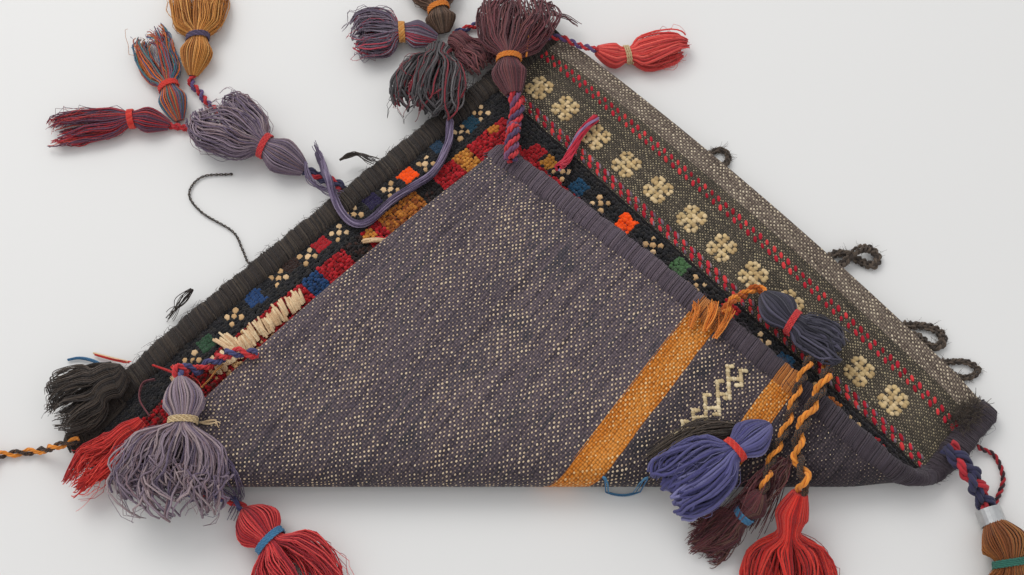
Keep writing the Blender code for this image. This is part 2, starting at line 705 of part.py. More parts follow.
def make_top_group():
    looped = dict(head_length=0.022, head_width=0.019, skirt_length=0.032, skirt_width=0.038, neck_radius=0.0040)
    make_tassel("top_purple_tassel", "plum_wool", mm((-54.9, 148.6), (-77, 151), (-109, 150)), looped, "ochre_wool")
    grey = dict(head_length=0.012, head_width=0.018, skirt_length=0.046, skirt_width=0.046, neck_radius=0.0040,
                waist=0.85)
    make_tassel("top_grey_tassel", "charcoal_wool", mm((-51.9, 143.3), (-55, 118), (-60, 87)), grey)
    brown = dict(head_length=0.016, head_width=0.020, skirt_length=0.038, skirt_width=0.034, neck_radius=0.0040)
    make_tassel("top_brown_tassel", "brown_wool", mm((-50, 153.9), (-53, 168), (-62, 206)), brown, "orange_wool")
    burgundy = dict(head_length=0.010, head_width=0.016, skirt_length=0.030, skirt_width=0.022, neck_radius=0.0040,
                    waist=0.85, flatness=0.40)
    make_tassel("top_burgundy_tassel", "burgundy_wool", mm((-43.5, 149.4), (-32.5, 137.3), (-22, 123)), burgundy)
    make_cord("top_cord", "crimson_wool",
              [*side_points(-1, 0.176, 0.0026), *mm((-12, 156), (-22, 162), (-31, 160), (-43.9, 153.9))], 0.0026,
              start_height=BINDING_HEIGHT / 2, on_floor=True)
    big = dict(head_length=0.024, head_width=0.022, skirt_length=0.054, skirt_width=0.050, neck_radius=0.0052,
               lift=0.0058, flatness=0.34)
    neck = make_tassel("apex_burgundy_tassel", "burgundy_wool", mm((-4, 95), (-7, 119), (0, 173)), big, "orange_wool")
    make_cord("apex_braid", "navy_wool", mm((-6, 44), (-4, 70), (-4, 95)), 0.0048, end=neck)
    red = dict(head_length=0.020, head_width=0.017, skirt_length=0.038, skirt_width=0.029, neck_radius=0.0030,
               neck_reach=0.010)
    neck = make_tassel("top_red_tassel", "scarlet_wool", mm((50, 134), (70, 134), (107, 142)), red, "cream_wool")
    make_cord("top_red_cord", "navy_wool", mm((9, 144), (26, 144), (39, 138), (50, 134)), 0.0024, end=neck)
    make_cord("purple_yarn", "plum_wool",
              mm((-44, 82), (-45, 64), (-54, 43), (-76, 26), (-95, 8), (-109, 17), (-119, 41), (-127, 64)), 0.0018,
              lifts=lambda share: 0.0085 * smooth_step((share - 0.72) / 0.1) * smooth_step((0.99 - share) / 0.08))
    make_cord("red_yarn_strap", "scarlet_wool", mm((48, 84), (38, 71), (29, 52), (23, 40)), 0.0024)


def make_lower_left_group():
    grey = dict(head_length=0.026, head_width=0.023, skirt_length=0.047, skirt_width=0.062, neck_radius=0.0042,
                flatness=0.26)
    neck = make_tassel("low_grey_tassel", "plum_wool", mm((-192, -99), (-187, -124), (-197, -171)), grey, "cream_wool")
    make_cord("low_grey_cord", "navy_wool", mm((-150, -82), (-169, -81), (-184, -86), (-192, -99)), 0.0036, end=neck)
    red = dict(head_length=0.025, head_width=0.027, skirt_length=0.045, skirt_width=0.050, neck_radius=0.0036)
    neck = make_tassel("low_red_tassel", "scarlet_wool", mm((-154, -168), (-138, -186), (-110, -220)), red, "blue_wool")
    make_cord("low_red_cord", "navy_wool", mm((-190, -155.8), (-176, -156.6), (-166, -160), (-154, -168)), 0.0031,
              end=neck, on_floor=True)
    small = dict(head_length=0.014, head_width=0.014, skirt_length=0.030, skirt_width=0.018, neck_radius=0.0028,
                 waist=0.8)
    neck = make_tassel("corner_red_tassel", "crimson_wool", mm((-301, -135), (-316, -139), (-344, -146)), small)
    make_cord("corner_cord", "orange_wool", mm((-250, -128), (-263, -132), (-281, -132), (-301, -135)), 0.0026,
              end=neck)
    dark = dict(head_length=0.016, head_width=0.024, skirt_length=0.036, skirt_width=0.038, neck_radius=0.0060,
                waist=0.95, flatness=0.26, head_flatness=0.36)
    make_tassel("corner_dark_fringe", "dark_goat_hair", mm((-228, -89), (-245, -99), (-266, -112)), dark)
    crimson = dict(head_length=0.016, head_width=0.018, skirt_length=0.038, skirt_width=0.026, neck_radius=0.0050,
                   waist=0.95, flatness=0.32, head_flatness=0.5)
    make_tassel("corner_crimson_fringe", "crimson_wool", mm((-213, -120), (-230, -136), (-249, -153)), crimson)


def make_right_group():
    dark = dict(head_length=0.024, head_width=0.022, skirt_length=0.030, skirt_width=0.026, neck_radius=0.0036,
                tip_lift=0.0085)
    neck = make_tassel("right_purple_tassel", "navy_wool", mm((144, -41), (157, -61), (184, -76)), dark, "crimson_wool")
    make_cord("right_orange_cord", "orange_wool", mm((117, -56), (126, -45), (136, -38), (144, -41)), 0.0030, end=neck)
    lilac = dict(head_length=0.026, head_width=0.021, skirt_length=0.046, skirt_width=0.040, neck_radius=0.0034,
                 flatness=0.36)
    make_tassel("right_lilac_tassel", "lilac_wool", mm((137, -126), (117, -141), (80, -164)), lilac, "scarlet_wool")
    plum = dict(head_length=0.014, head_width=0.016, skirt_length=0.030, skirt_width=0.026, neck_radius=0.0030,
                neck_reach=0.010)
    neck = make_tassel("right_burgundy_tassel", "burgundy_wool", mm((131, -163), (123, -173), (96, -186)), plum,
                       "blue_wool")
    make_cord("right_cord_1", "orange_wool", mm((168, -80), (159, -96), (147, -127), (137, -147), (131, -163)), 0.0026,
              end=neck)
    red = dict(head_length=0.018, head_width=0.018, skirt_length=0.042, skirt_width=0.054, neck_radius=0.0042,
               flatness=0.26, waist=0.8, neck_reach=0.010)
    neck = make_tassel("right_red_tassel", "scarlet_wool", mm((152, -164), (147, -181), (146, -222)), red)
    make_cord("right_cord_2", "orange_wool", mm((178, -84), (169, -103), (156, -127), (152, -146), (152, -164)), 0.0036,
              end=neck)


def make_lower_right_group():
    radius = 0.0060
    ochre = dict(head_length=0.023, head_width=0.027, skirt_length=0.042, skirt_width=0.032, neck_radius=radius,
                 lift=FERRULE_WALL + SEAT_CLEARANCE)
    neck = make_tassel("corner_ochre_tassel", "ochre_wool", mm((263, -176), (267, -197), (266, -240)), ochre,
                       "teal_wool")
    make_cord("corner_braid", "navy_wool", mm((240, -133), (251, -150), (263, -176)), radius, end=neck,
              lifts=lambda share: (FERRULE_WALL + SEAT_CLEARANCE) * share)
    place, direction = neck
    make_ferrule(place - direction * (JOIN + FERRULE_LENGTH / 2), direction, radius)
    make_cord("corner_thin_cord", "crimson_wool",
              [*side_points(1, 0.176, 0.0016), *mm((271, -134), (274, -148), (267, -163))], 0.0016,
              start_height=BINDING_HEIGHT / 2, on_floor=True)


def make_bag():
    make_woven_cloth()
    make_binding("side_binding_left", -1, "dark_goat_hair")
    make_binding("side_binding_right", 1, "navy_wool")
    make_mouth_loops()
    make_left_group()
    make_top_group()
    make_lower_left_group()
    make_right_group()
    make_lower_right_group()


clear_scene()
parts = bpy.data.collections.new("wool_bag")
bpy.context.scene.collection.children.link(parts)
make_bag()
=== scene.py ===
# %% [markdown]
# # A hand-knotted wool bag, built round its CAD frame
# The object is a flat, square tribal bag with a pile face, a plain-weave back and many tassels. It lies on
# the floor with one lower corner folded up over its face. The CAD model gives the sizes and the places.
# This script dresses it in cloth, knots and yarn. The frame is loaded first and is never changed.

# %% Load the frame
import json
import math

import bmesh
import bpy
import numpy as np
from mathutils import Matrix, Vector

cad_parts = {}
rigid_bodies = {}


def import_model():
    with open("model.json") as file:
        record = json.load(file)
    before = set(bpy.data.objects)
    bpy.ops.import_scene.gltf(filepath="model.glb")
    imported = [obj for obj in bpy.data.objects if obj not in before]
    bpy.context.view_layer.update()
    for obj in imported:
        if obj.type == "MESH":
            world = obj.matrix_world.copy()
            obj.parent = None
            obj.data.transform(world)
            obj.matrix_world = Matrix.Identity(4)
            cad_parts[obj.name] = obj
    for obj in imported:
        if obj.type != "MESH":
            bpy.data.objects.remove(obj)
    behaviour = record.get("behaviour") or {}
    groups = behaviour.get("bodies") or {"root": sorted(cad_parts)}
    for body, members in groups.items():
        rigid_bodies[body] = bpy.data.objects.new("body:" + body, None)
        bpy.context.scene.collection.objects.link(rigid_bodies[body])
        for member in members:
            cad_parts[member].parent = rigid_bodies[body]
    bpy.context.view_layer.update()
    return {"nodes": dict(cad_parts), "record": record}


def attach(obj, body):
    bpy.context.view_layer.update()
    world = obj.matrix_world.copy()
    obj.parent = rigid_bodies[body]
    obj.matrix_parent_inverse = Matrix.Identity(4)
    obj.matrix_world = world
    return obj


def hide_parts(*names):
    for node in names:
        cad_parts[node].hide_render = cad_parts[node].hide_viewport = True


for left_over in list(bpy.data.objects):
    bpy.data.objects.remove(left_over)
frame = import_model()

# %% [markdown]
# ## Camera
# The photograph looks down on the bag at 65.6 degrees. A lens of 49 mm on a 36 mm sensor gives its field of
# view, and the camera has no roll or shift, so only its place and one turn are needed.

# %% Camera
CAMERA_PLACE = (-0.005, -0.3772, 0.771)
CAMERA_TILT = math.radians(24.4)


def new_object(name, data):
    """Put a mesh, a lamp or a camera into the scene."""
    made = bpy.data.objects.new(name, data)
    bpy.context.scene.collection.objects.link(made)
    return made


lens = bpy.data.cameras.new("camera")
lens.lens = 49.22
lens.sensor_width = 36.0
camera = new_object("camera", lens)
camera.location = CAMERA_PLACE
camera.rotation_euler = (CAMERA_TILT, 0.0, 0.0)
bpy.context.scene.camera = camera
print("camera above the floor, m:", CAMERA_PLACE[2])


# %% [markdown]
# ## Colours and nodes
# Colours are written as sRGB hex values, as a dyer's card would give them, and one function turns them into
# the linear values that Blender works with. Another adds a node with its settings and its links. Every
# material starts from the same shader and ends in a colour and a relief, so two more do that.

# %% Helpers for colours and nodes
def linear(code):
    """Linear RGBA of an sRGB hex value."""
    shares = [int(code[start:start + 2], 16) / 255 for start in (0, 2, 4)]
    return (*[s / 12.92 if s <= 0.04045 else ((s + 0.055) / 1.055) ** 2.4 for s in shares], 1.0)


def add(tree, kind, feeds=None, **settings):
    """Add a node. feeds gives its inputs by name or number: a value, an output, or a node for its first output."""
    made = tree.nodes.new(kind)
    for name, value in settings.items():
        setattr(made, name, value)
    for key, value in (feeds or {}).items():
        if isinstance(value, bpy.types.Node):
            value = value.outputs[0]
        if isinstance(value, bpy.types.NodeSocket):
            tree.links.new(value, made.inputs[key])
        else:
            made.inputs[key].default_value = value
    return made


def new_material(name, surface):
    """A material whose shader has the given plain settings; gives it with its tree and its shader."""
    made = bpy.data.materials.new(name)
    made.use_nodes = True
    shader = made.node_tree.nodes["Principled BSDF"]
    for key, value in surface.items():
        shader.inputs[key].default_value = value
    return made, made.node_tree, shader


def link_surface(tree, shader, colour, height, strength, distance):
    """Give a material its colour, and a relief that is so many metres high where height is 1."""
    bump = add(tree, "ShaderNodeBump", {"Height": height, "Strength": strength, "Distance": distance})
    tree.links.new(colour, shader.inputs["Base Color"])
    tree.links.new(bump.outputs["Normal"], shader.inputs["Normal"])


def fill_ramp(ramp, shades, places):
    """Put shades on a colour ramp, each at its own place from 0 to 1."""
    points = ramp.color_ramp.elements
    points.remove(points[1])
    points[0].position = places[0]
    points[0].color = linear(shades[0])
    for place, shade in zip(places[1:], shades[1:]):
        points.new(place).color = linear(shade)


# %% [markdown]
# ## Floor and light
# The floor is a plain pale plane. A world of soft white light does most of the work, and one large lamp from
# the upper left gives the tassels their soft shadows, as a window would.

# %% Floor
# Matt paint: it takes soft shadows and mirrors nothing.
floor_material, _, _ = new_material("pale_painted_floor", {"Base Color": linear("e5e3df"), "Roughness": 0.7})
bpy.ops.mesh.primitive_plane_add(size=12.0, location=(0.0, 0.0, 0.0))
floor = bpy.context.object
floor.name = "floor"
floor.data.materials.append(floor_material)

# %% Light
world = bpy.data.worlds.new("soft_room")
bpy.context.scene.world = world
world.use_nodes = True
world.node_tree.nodes["Background"].inputs["Color"].default_value = linear("f4f6fa")
world.node_tree.nodes["Background"].inputs["Strength"].default_value = 0.78
window = bpy.data.lights.new("window", "AREA")
window.shape = "RECTANGLE"
window.size = 1.6
window.size_y = 1.2
window.energy = 21.0
window_object = new_object("window", window)
window_object.location = (-0.9, 1.2, 1.7)
window_object.rotation_euler = (-window_object.location).to_track_quat("-Z", "Y").to_euler()
bpy.context.scene.view_settings.view_transform = "Standard"
print("lamp power, W:", window.energy)


# %% [markdown]
# ## The bag's sizes and its flat axes
# The bag is drawn flat, in its own axes: across, from its left side to its right, and up, from its bottom to
# its mouth. Those points are then turned into the plan and bent round the fold. Everything that is sewn or
# knotted on the bag goes through the same two steps, so that patterns stay on their threads.

# %% Sizes in metres
CLOTH_WIDTH = 0.362
CLOTH_DEPTH = 0.394
BACK_THICKNESS = 0.0022
FACE_THICKNESS = 0.0050
BAND_THICKNESS = 0.0028
BAND_DEPTH = 0.050
POCKET = 0.0050
EDGE_POCKET = 0.0004
EDGE_FACE_THICKNESS = 0.0023
EDGE_LIFT = 0.0024
EDGE_EASE = 0.022
RIGHT_BOW = 0.008
MOUTH_BOW = 0.007
BOTTOM_BOW = 0.009
CORNER_DRAW = 0.010
DRAW_DEPTH = 0.115
BAG_TURN = math.radians(43.65)
FOLD_BELOW_ORIGIN = 0.155
FOLD_CLEARANCE = 0.00015
BINDING_WIDTH = 0.016
BINDING_HEIGHT = 0.0104
BINDING_OVERHANG = 0.006
BINDING_LAP = 0.008
BINDING_END = 0.003
BINDING_FLOOR_GAP = 0.0001
EDGE_CLEARANCE = 0.0010
LOOP_INSET = 0.007
LIFT = 0.00035
JOIN = 0.0004
CORD_REACH = 0.0030
CORD_STEP = 0.0025
TIE_WIDTH = 0.0050
TIE_THICKNESS = 0.0018
SEAT_CLEARANCE = 0.0003
FERRULE_WALL = 0.0009
PILE_HEIGHT = 0.0032

HALF_WIDTH = CLOTH_WIDTH / 2
HALF_DEPTH = CLOTH_DEPTH / 2
BAND_START = HALF_DEPTH - BAND_DEPTH
FOLD_RADIUS = BACK_THICKNESS + POCKET + FACE_THICKNESS + FOLD_CLEARANCE
FLAP_TOP = 2 * FOLD_RADIUS
FOLD_EDGE_Y = -FOLD_BELOW_ORIGIN
FOLD_START_Y = FOLD_EDGE_Y + FOLD_RADIUS
CENTRE = Vector((0.0034, FOLD_EDGE_Y + 0.0415))
ACROSS = Vector((math.sin(BAG_TURN), -math.cos(BAG_TURN)))
TO_MOUTH = Vector((math.cos(BAG_TURN), math.sin(BAG_TURN)))
print("fold radius, mm:", round(FOLD_RADIUS * 1000, 2))


# %% From the flat bag to where it lies
def smooth_steps(values):
    """An even rise from 0 to 1, level at both ends, for one value or many."""
    values = np.clip(values, 0.0, 1.0)
    return values * values * (3 - 2 * values)


def outline(across, up):
    """Move a point, or arrays of points, of the plain rectangle onto the bag's softer outline."""
    middle_up = 1 - (up / HALF_DEPTH) ** 2
    middle_across = 1 - (across / HALF_WIDTH) ** 2
    right = RIGHT_BOW * np.maximum(across / HALF_WIDTH, 0.0) * middle_up
    drawn = np.maximum(0.0, -up - HALF_DEPTH + DRAW_DEPTH) / DRAW_DEPTH
    left = CORNER_DRAW * np.maximum(-across / HALF_WIDTH, 0.0) * drawn ** 2
    in_band = np.maximum(0.0, up - BAND_START) / BAND_DEPTH
    mouth = MOUTH_BOW * in_band * middle_across
    bottom = BOTTOM_BOW * np.maximum(-up / HALF_DEPTH, 0.0) * middle_across
    return across + right + left, up + mouth - bottom


def plan_place(across, up):
    """X and Y of many points of the flat bag."""
    return (CENTRE.x + across * ACROSS.x + up * TO_MOUTH.x,
            CENTRE.y + across * ACROSS.y + up * TO_MOUTH.y)


def to_plan(across, up):
    """X and Y of one point of the flat bag."""
    return CENTRE + float(across) * ACROSS + float(up) * TO_MOUTH


def to_bag(x, y):
    """Across and up of a point of the plan."""
    offset = Vector((x, y)) - CENTRE
    return offset.dot(ACROSS), offset.dot(TO_MOUTH)


def edge_ease(across):
    """0 under the side bindings, 1 where the bag has its full thickness."""
    return smooth_steps((HALF_WIDTH - np.abs(across) - BINDING_LAP - EDGE_CLEARANCE) / EDGE_EASE)


def layer_heights(across, in_band):
    """Heights of the back's two faces and the face cloth's two faces, from the floor up."""
    ease = edge_ease(across)
    face = np.where(in_band, BAND_THICKNESS, FACE_THICKNESS)
    underside = EDGE_LIFT * (1 - ease)
    back_top = underside + BACK_THICKNESS
    face_bottom = back_top + EDGE_POCKET + (POCKET - EDGE_POCKET) * ease
    face_top = face_bottom + EDGE_FACE_THICKNESS + (face - EDGE_FACE_THICKNESS) * ease
    return underside, back_top, face_bottom, face_top


def folded(points):
    """Take points of the flat bag, one per row, to where they lie once the lower corner is folded over."""
    x, y, z = points[:, 0], points[:, 1], points[:, 2]
    past = np.maximum(FOLD_START_Y - y, 0.0)
    angle = np.minimum(past / FOLD_RADIUS, math.pi)
    straight = np.maximum(past - FOLD_RADIUS * math.pi, 0.0)
    radius = FOLD_RADIUS - z
    bent_y = FOLD_START_Y - radius * np.sin(angle) + straight
    bent_z = FOLD_RADIUS - radius * np.cos(angle)
    return np.column_stack([x, np.where(past > 0, bent_y, y), np.where(past > 0, bent_z, z)])


def laid(across, up, height):
    """Where points of the plain rectangle, at their heights in the flat bag, lie in the end."""
    x, y = plan_place(*outline(np.asarray(across, float), np.asarray(up, float)))
    return folded(np.column_stack([x, y, np.broadcast_to(height, x.shape)]))


corner_place = laid(np.array([HALF_WIDTH]), np.array([HALF_DEPTH]), 0.0)[0]
print("right corner of the mouth, mm:", np.round(corner_place * 1000))


# %% [markdown]
# ## Laying cords and tassels
# A cord is a fixed length of something limp: it lies on whatever is below it, floor, bag or folded corner.
# These functions give the height of what is below a point, and lay a route over it no steeper than it bends.

# %% What is below a point
def inside_edges(x, y):
    """How far a plan point is inside the nearer side of the flat bag; negative outside the bag."""
    across, up = to_bag(x, y)
    held_across = min(max(across, -HALF_WIDTH), HALF_WIDTH)
    held_up = min(max(up, -HALF_DEPTH), HALF_DEPTH)
    left_edge, _ = outline(-HALF_WIDTH, held_up)
    right_edge, _ = outline(HALF_WIDTH, held_up)
    inside = min(across - left_edge, right_edge - across)
    past_end = BINDING_END if inside < BINDING_LAP else 0.0
    _, mouth_edge = outline(held_across, HALF_DEPTH)
    _, bottom_edge = outline(held_across, -HALF_DEPTH)
    if not bottom_edge - past_end < up < mouth_edge + past_end:
        return -1.0
    return inside


def surface_height(x, y):
    """Height of the top of the laid bag, or 0 on the floor."""
    if y < FOLD_EDGE_Y:
        return 0.0
    round_the_fold = FOLD_RADIUS * math.pi + max(y - FOLD_START_Y, 0.0)
    if inside_edges(x, FOLD_START_Y - round_the_fold) > -BINDING_OVERHANG:
        return FLAP_TOP
    inside = inside_edges(x, max(y, FOLD_START_Y))
    if inside < -BINDING_OVERHANG:
        return 0.0
    _, up = to_bag(x, y)
    top = float(layer_heights(HALF_WIDTH - max(inside, 0.0), up > BAND_START + 0.006)[3])
    return BINDING_FLOOR_GAP + BINDING_HEIGHT if inside < BINDING_LAP else top


def lay_height(x, y, reach):
    """The highest surface at a point and on a circle round it, which is what a cord as thick as that lies on."""
    heights = [surface_height(x, y)]
    for step in range(8):
        angle = math.pi * step / 4
        heights.append(surface_height(x + reach * math.cos(angle), y + reach * math.sin(angle)))
    return max(heights)


def bunch_floor(place, forward, half):
    """What a bunch lies on at one of its sections: mostly what is beside it, and little ahead of it."""
    sideways = Vector((forward.y, -forward.x))
    heights = []
    for beside in (-0.8, -0.4, 0.0, 0.4, 0.8):
        for ahead in (-0.004, 0.0, 0.004):
            point = place + sideways * (half * beside) + forward * ahead
            heights.append(surface_height(point.x, point.y))
    return max(heights)


# %% Lines of points
def smooth_route(points, samples_per_span=12):
    """Catmull-Rom curve through the points."""
    points = [Vector(point) for point in points]
    ends = [2 * points[0] - points[1]] + points + [2 * points[-1] - points[-2]]
    route = []
    for before, start, end, after in zip(ends, ends[1:], ends[2:], ends[3:]):
        for step in range(samples_per_span):
            t = step / samples_per_span
            route.append(0.5 * (2 * start + (end - before) * t
                                + (2 * before - 5 * start + 4 * end - after) * t * t
                                + (3 * start - before - 3 * end + after) * t ** 3))
    route.append(points[-1])
    return route


def route_length(route):
    """Length of a line of points."""
    return sum((after - before).length for before, after in zip(route, route[1:]))


def along(route, distance):
    """The point of a line at a distance from its start."""
    for before, after in zip(route, route[1:]):
        step = (after - before).length
        if distance <= step:
            return before.lerp(after, distance / step)
        distance -= step
    return route[-1].copy()


# %% Laying a cord
STEEPEST_CORD = 1.3
STEEPEST_BUNCH = 0.9


def ramped(heights, places, steepest):
    """Let a piece hang off an edge no steeper than it can bend."""
    steps = [(after - before).length for before, after in zip(places, places[1:])]
    for index, step in enumerate(steps):
        heights[index + 1] = max(heights[index + 1], heights[index] - steepest * step)
    for index in range(len(steps) - 1, -1, -1):
        heights[index] = max(heights[index], heights[index + 1] - steepest * steps[index])
    return heights


def soften(heights, passes=2):
    """Let a laid piece bridge sharp steps; it is never lower than what it lies on."""
    for _ in range(passes):
        heights = [heights[0]] + [
            max(here, (before + after) / 2)
            for before, here, after in zip(heights, heights[1:], heights[2:])
        ] + [heights[-1]]
    return heights


def mm(*points):
    """Points given in millimetres."""
    return [tuple(value / 1000 for value in point) for point in points]


def side_points(side, up, radius):
    """Two plan points with which a cord starts square to a side binding."""
    across, along_side = outline(side * HALF_WIDTH, up)
    start = BINDING_OVERHANG + SEAT_CLEARANCE
    return [tuple(to_plan(across + side * out, along_side)) for out in (start, start + 1.6 * radius)]


def lay_cord(points, radius, start_height=None, end=None, lifts=None, on_floor=False):
    """Centres of a cord that lies along plan points. end is (place, direction) of the neck that it meets."""
    plan_route = smooth_route(points)
    length = route_length(plan_route)
    count = max(round(length / CORD_STEP), 12)
    places, heights = [], []
    for index in range(count + 1):
        distance = length * index / count
        place = along(plan_route, distance)
        lift = LIFT + (lifts(distance / length) if lifts else 0.0)
        below = 0.0 if on_floor else lay_height(place.x, place.y, radius + CORD_REACH)
        places.append(place)
        heights.append(below + radius + lift)
    if start_height is not None:
        heights[0] = start_height
    if end:
        heights[-1] = end[0].z
    heights = soften(ramped(heights, places, STEEPEST_CORD), passes=6)
    centres = [Vector((place.x, place.y, height)) for place, height in zip(places, heights)]
    if end:
        # The last bends are left out, so that the cord comes straight to its tassel's neck.
        place, direction = end
        approach = place - direction * (JOIN + 2.2 * radius)
        centres = [centre for centre in centres if (centre - place).length > 4.5 * radius]
        centres += [approach, place - direction * JOIN]
    return smooth_route(centres, samples_per_span=2)


print("height of the bag's top at its middle, mm:", round(surface_height(0.05, 0.05) * 1000, 1))


# %% The sections of a tassel
def bunch_stations(shape):
    """Distance from the neck, half width and half height at each section of a tassel."""
    head, skirt = shape["head_length"], shape["skirt_length"]
    head_half, skirt_half = shape["head_width"] / 2, shape["skirt_width"] / 2
    neck_half = shape["neck_radius"]
    waist_half = head_half * shape.get("waist", 0.62)
    flat = shape.get("flatness", 0.45)
    high_head = shape.get("head_flatness", 0.82)
    tip_half = skirt_half * shape.get("tip", 0.8)
    groove = TIE_WIDTH / 2 + SEAT_CLEARANCE
    stations = [(0.0, neck_half, neck_half),
                (0.30 * head, 0.80 * head_half, 0.80 * head_half * high_head),
                (0.60 * head, head_half, head_half * high_head)]
    waist_high = waist_half * high_head
    stations += [(head - groove, waist_half, waist_high), (head + groove, waist_half, waist_high)]
    for share, width_share, height_share in ((0.25, 0.70, 0.95), (0.60, 1.0, 1.0), (0.88, 1.0, 0.8)):
        half = waist_half + (skirt_half - waist_half) * width_share
        high = max(waist_high, skirt_half * flat) * height_share
        stations.append((head + skirt * share, half, min(high, half)))
    stations.append((head + skirt, tip_half, skirt_half * flat * 0.45))
    return stations


# %% Laying a tassel
def hang_waist(heights, stations):
    """The waist spans from head to skirt, clear of the floor, which leaves room for the tie under it."""
    for index in (3, 4):
        share = (stations[index][0] - stations[2][0]) / (stations[5][0] - stations[2][0])
        spanned = heights[2] + (heights[5] - heights[2]) * share
        heights[index] = max(spanned, heights[index] + TIE_THICKNESS + SEAT_CLEARANCE)
    return heights


def lay_bunch(route, shape):
    """Centres of a tassel's sections along a plan route from neck to tip, and its stations."""
    stations = bunch_stations(shape)
    plan_route = smooth_route(route)
    length = stations[-1][0]
    scale = route_length(plan_route) / length
    places = [along(plan_route, station[0] * scale) for station in stations]
    heights = []
    for index, (place, (distance, half, high)) in enumerate(zip(places, stations)):
        forward = (places[min(index + 1, len(places) - 1)] - places[max(index - 1, 0)]).normalized()
        lift = LIFT + shape.get("lift", 0.0) + shape.get("tip_lift", 0.0) * distance / length
        heights.append(bunch_floor(place, forward, half) + high + lift)
    neck_floor = lay_height(places[0].x, places[0].y, shape.get("neck_reach", 0.0))
    heights[0] = max(heights[0], neck_floor + stations[0][2] + LIFT, heights[1] - stations[1][2] * 0.45)
    heights = hang_waist(soften(ramped(heights, places, STEEPEST_BUNCH)), stations)
    centres = [Vector((place.x, place.y, height)) for place, height in zip(places, heights)]
    return centres, stations


def neck_of(centres):
    """Place and outward direction of the neck, which never points up, so that a cord comes to it flat."""
    forward = (centres[1] - centres[0]).normalized()
    return centres[0], Vector((forward.x, forward.y, min(forward.z, 0.0))).normalized()


# %% [markdown]
# ## Wool
# The yarns are hand-spun wool, dyed in the hank. Wool is matt, with a faint bloom of loose fibres, and no two
# strands take the dye alike. So each strand picks one of a few shades by its own number, and a fine noise in
# the object's own coordinates breaks it up. A slanting ripple along the yarn stands for its twist.

# %% A wool material
# Matt and a little fuzzy, so it is rough, mirrors little and has a faint sheen. Its blotches are 2.4 mm
# long and its fibres 0.4 mm.
def wool(name, *shades, by="strand", twist=0.0022, depth=0.25, darkening=None):
    """Each strand, or each ply, takes one shade. The last argument, (y, y, share), darkens the tone to that share at
    the first y, rising to all of it at the second.
    """
    made, tree, shader = new_material(name, {"Roughness": 0.92, "Specular IOR Level": 0.2, "Sheen Weight": 0.12,
                                             "Sheen Roughness": 0.6})
    pick = add(tree, "ShaderNodeAttribute", attribute_name=by).outputs["Fac"]
    if by == "strand":
        pick = add(tree, "ShaderNodeTexWhiteNoise", {"W": pick}, noise_dimensions="1D")
    ramp = add(tree, "ShaderNodeValToRGB", {"Fac": pick})
    ramp.color_ramp.interpolation = "CONSTANT"
    fill_ramp(ramp, shades, [index / len(shades) for index in range(len(shades))])
    place = add(tree, "ShaderNodeTexCoord").outputs["Object"]
    blotch = add(tree, "ShaderNodeTexNoise", {"Vector": place, "Scale": 420.0, "Detail": 3.0})
    strand = add(tree, "ShaderNodeAttribute", attribute_name="strand").outputs["Fac"]
    shift = add(tree, "ShaderNodeMath", {0: strand, 1: 7.31}, operation="ADD")
    tone = add(tree, "ShaderNodeTexWhiteNoise", {"W": shift}, noise_dimensions="1D")
    both = add(tree, "ShaderNodeMath", {0: tone, 1: blotch}, operation="ADD")
    value = add(tree, "ShaderNodeMapRange", {"Value": both, 1: 0.3, 2: 1.6, 3: 1 - depth, 4: 1 + depth})
    if darkening:
        start, end, least = darkening
        plain = add(tree, "ShaderNodeSeparateXYZ", {0: place})
        darkened = add(tree, "ShaderNodeMapRange", {"Value": plain.outputs["Y"], 1: start, 2: end, 3: least, 4: 1.0})
        value = add(tree, "ShaderNodeMath", {0: value, 1: darkened}, operation="MULTIPLY")
    tint = add(tree, "ShaderNodeHueSaturation", {"Color": ramp, "Value": value})
    run = add(tree, "ShaderNodeAttribute", attribute_name="run").outputs["Fac"]
    turn = add(tree, "ShaderNodeAttribute", attribute_name="around").outputs["Fac"]
    lay = add(tree, "ShaderNodeMath", {0: run, 1: 1 / twist, 2: turn}, operation="MULTIPLY_ADD")
    wave = add(tree, "ShaderNodeMath", {0: lay, 1: 2 * math.pi}, operation="MULTIPLY")
    ripple = add(tree, "ShaderNodeMath", {0: wave}, operation="SINE")
    fibre = add(tree, "ShaderNodeTexNoise", {"Vector": place, "Scale": 2600.0, "Detail": 2.0})
    height = add(tree, "ShaderNodeMath", {0: ripple, 1: 0.4, 2: fibre}, operation="MULTIPLY_ADD")
    link_surface(tree, shader, tint.outputs["Color"], height, 0.5, 0.0002)
    return made


# %% [markdown]
# ## Geometry trees for yarn
# A tassel has 70 to 260 yarns, and a cord has a few that wind round each other. Both follow one line,
# so both are grown by Geometry Nodes: a guide line carries the width and height of the bunch at each point,
# and the tree copies it once for each strand and moves each copy to its own place in the bunch.

# %% Running a tree on a guide
SOCKET_KINDS = {int: "NodeSocketInt", float: "NodeSocketFloat"}


def new_tree(name, sizes):
    """A geometry tree with its inputs; gives the tree and the sockets that it starts from."""
    tree = bpy.data.node_groups.new(name, "GeometryNodeTree")
    tree.interface.new_socket("Guide", in_out="INPUT", socket_type="NodeSocketGeometry")
    for label, value in sizes.items():
        socket = tree.interface.new_socket(label, in_out="INPUT", socket_type=SOCKET_KINDS[type(value)])
        socket.default_value = value
    tree.interface.new_socket("Material", in_out="INPUT", socket_type="NodeSocketMaterial")
    tree.interface.new_socket("Stamp", in_out="INPUT", socket_type="NodeSocketObject")
    tree.interface.new_socket("Result", in_out="OUTPUT", socket_type="NodeSocketGeometry")
    return tree, add(tree, "NodeGroupInput").outputs


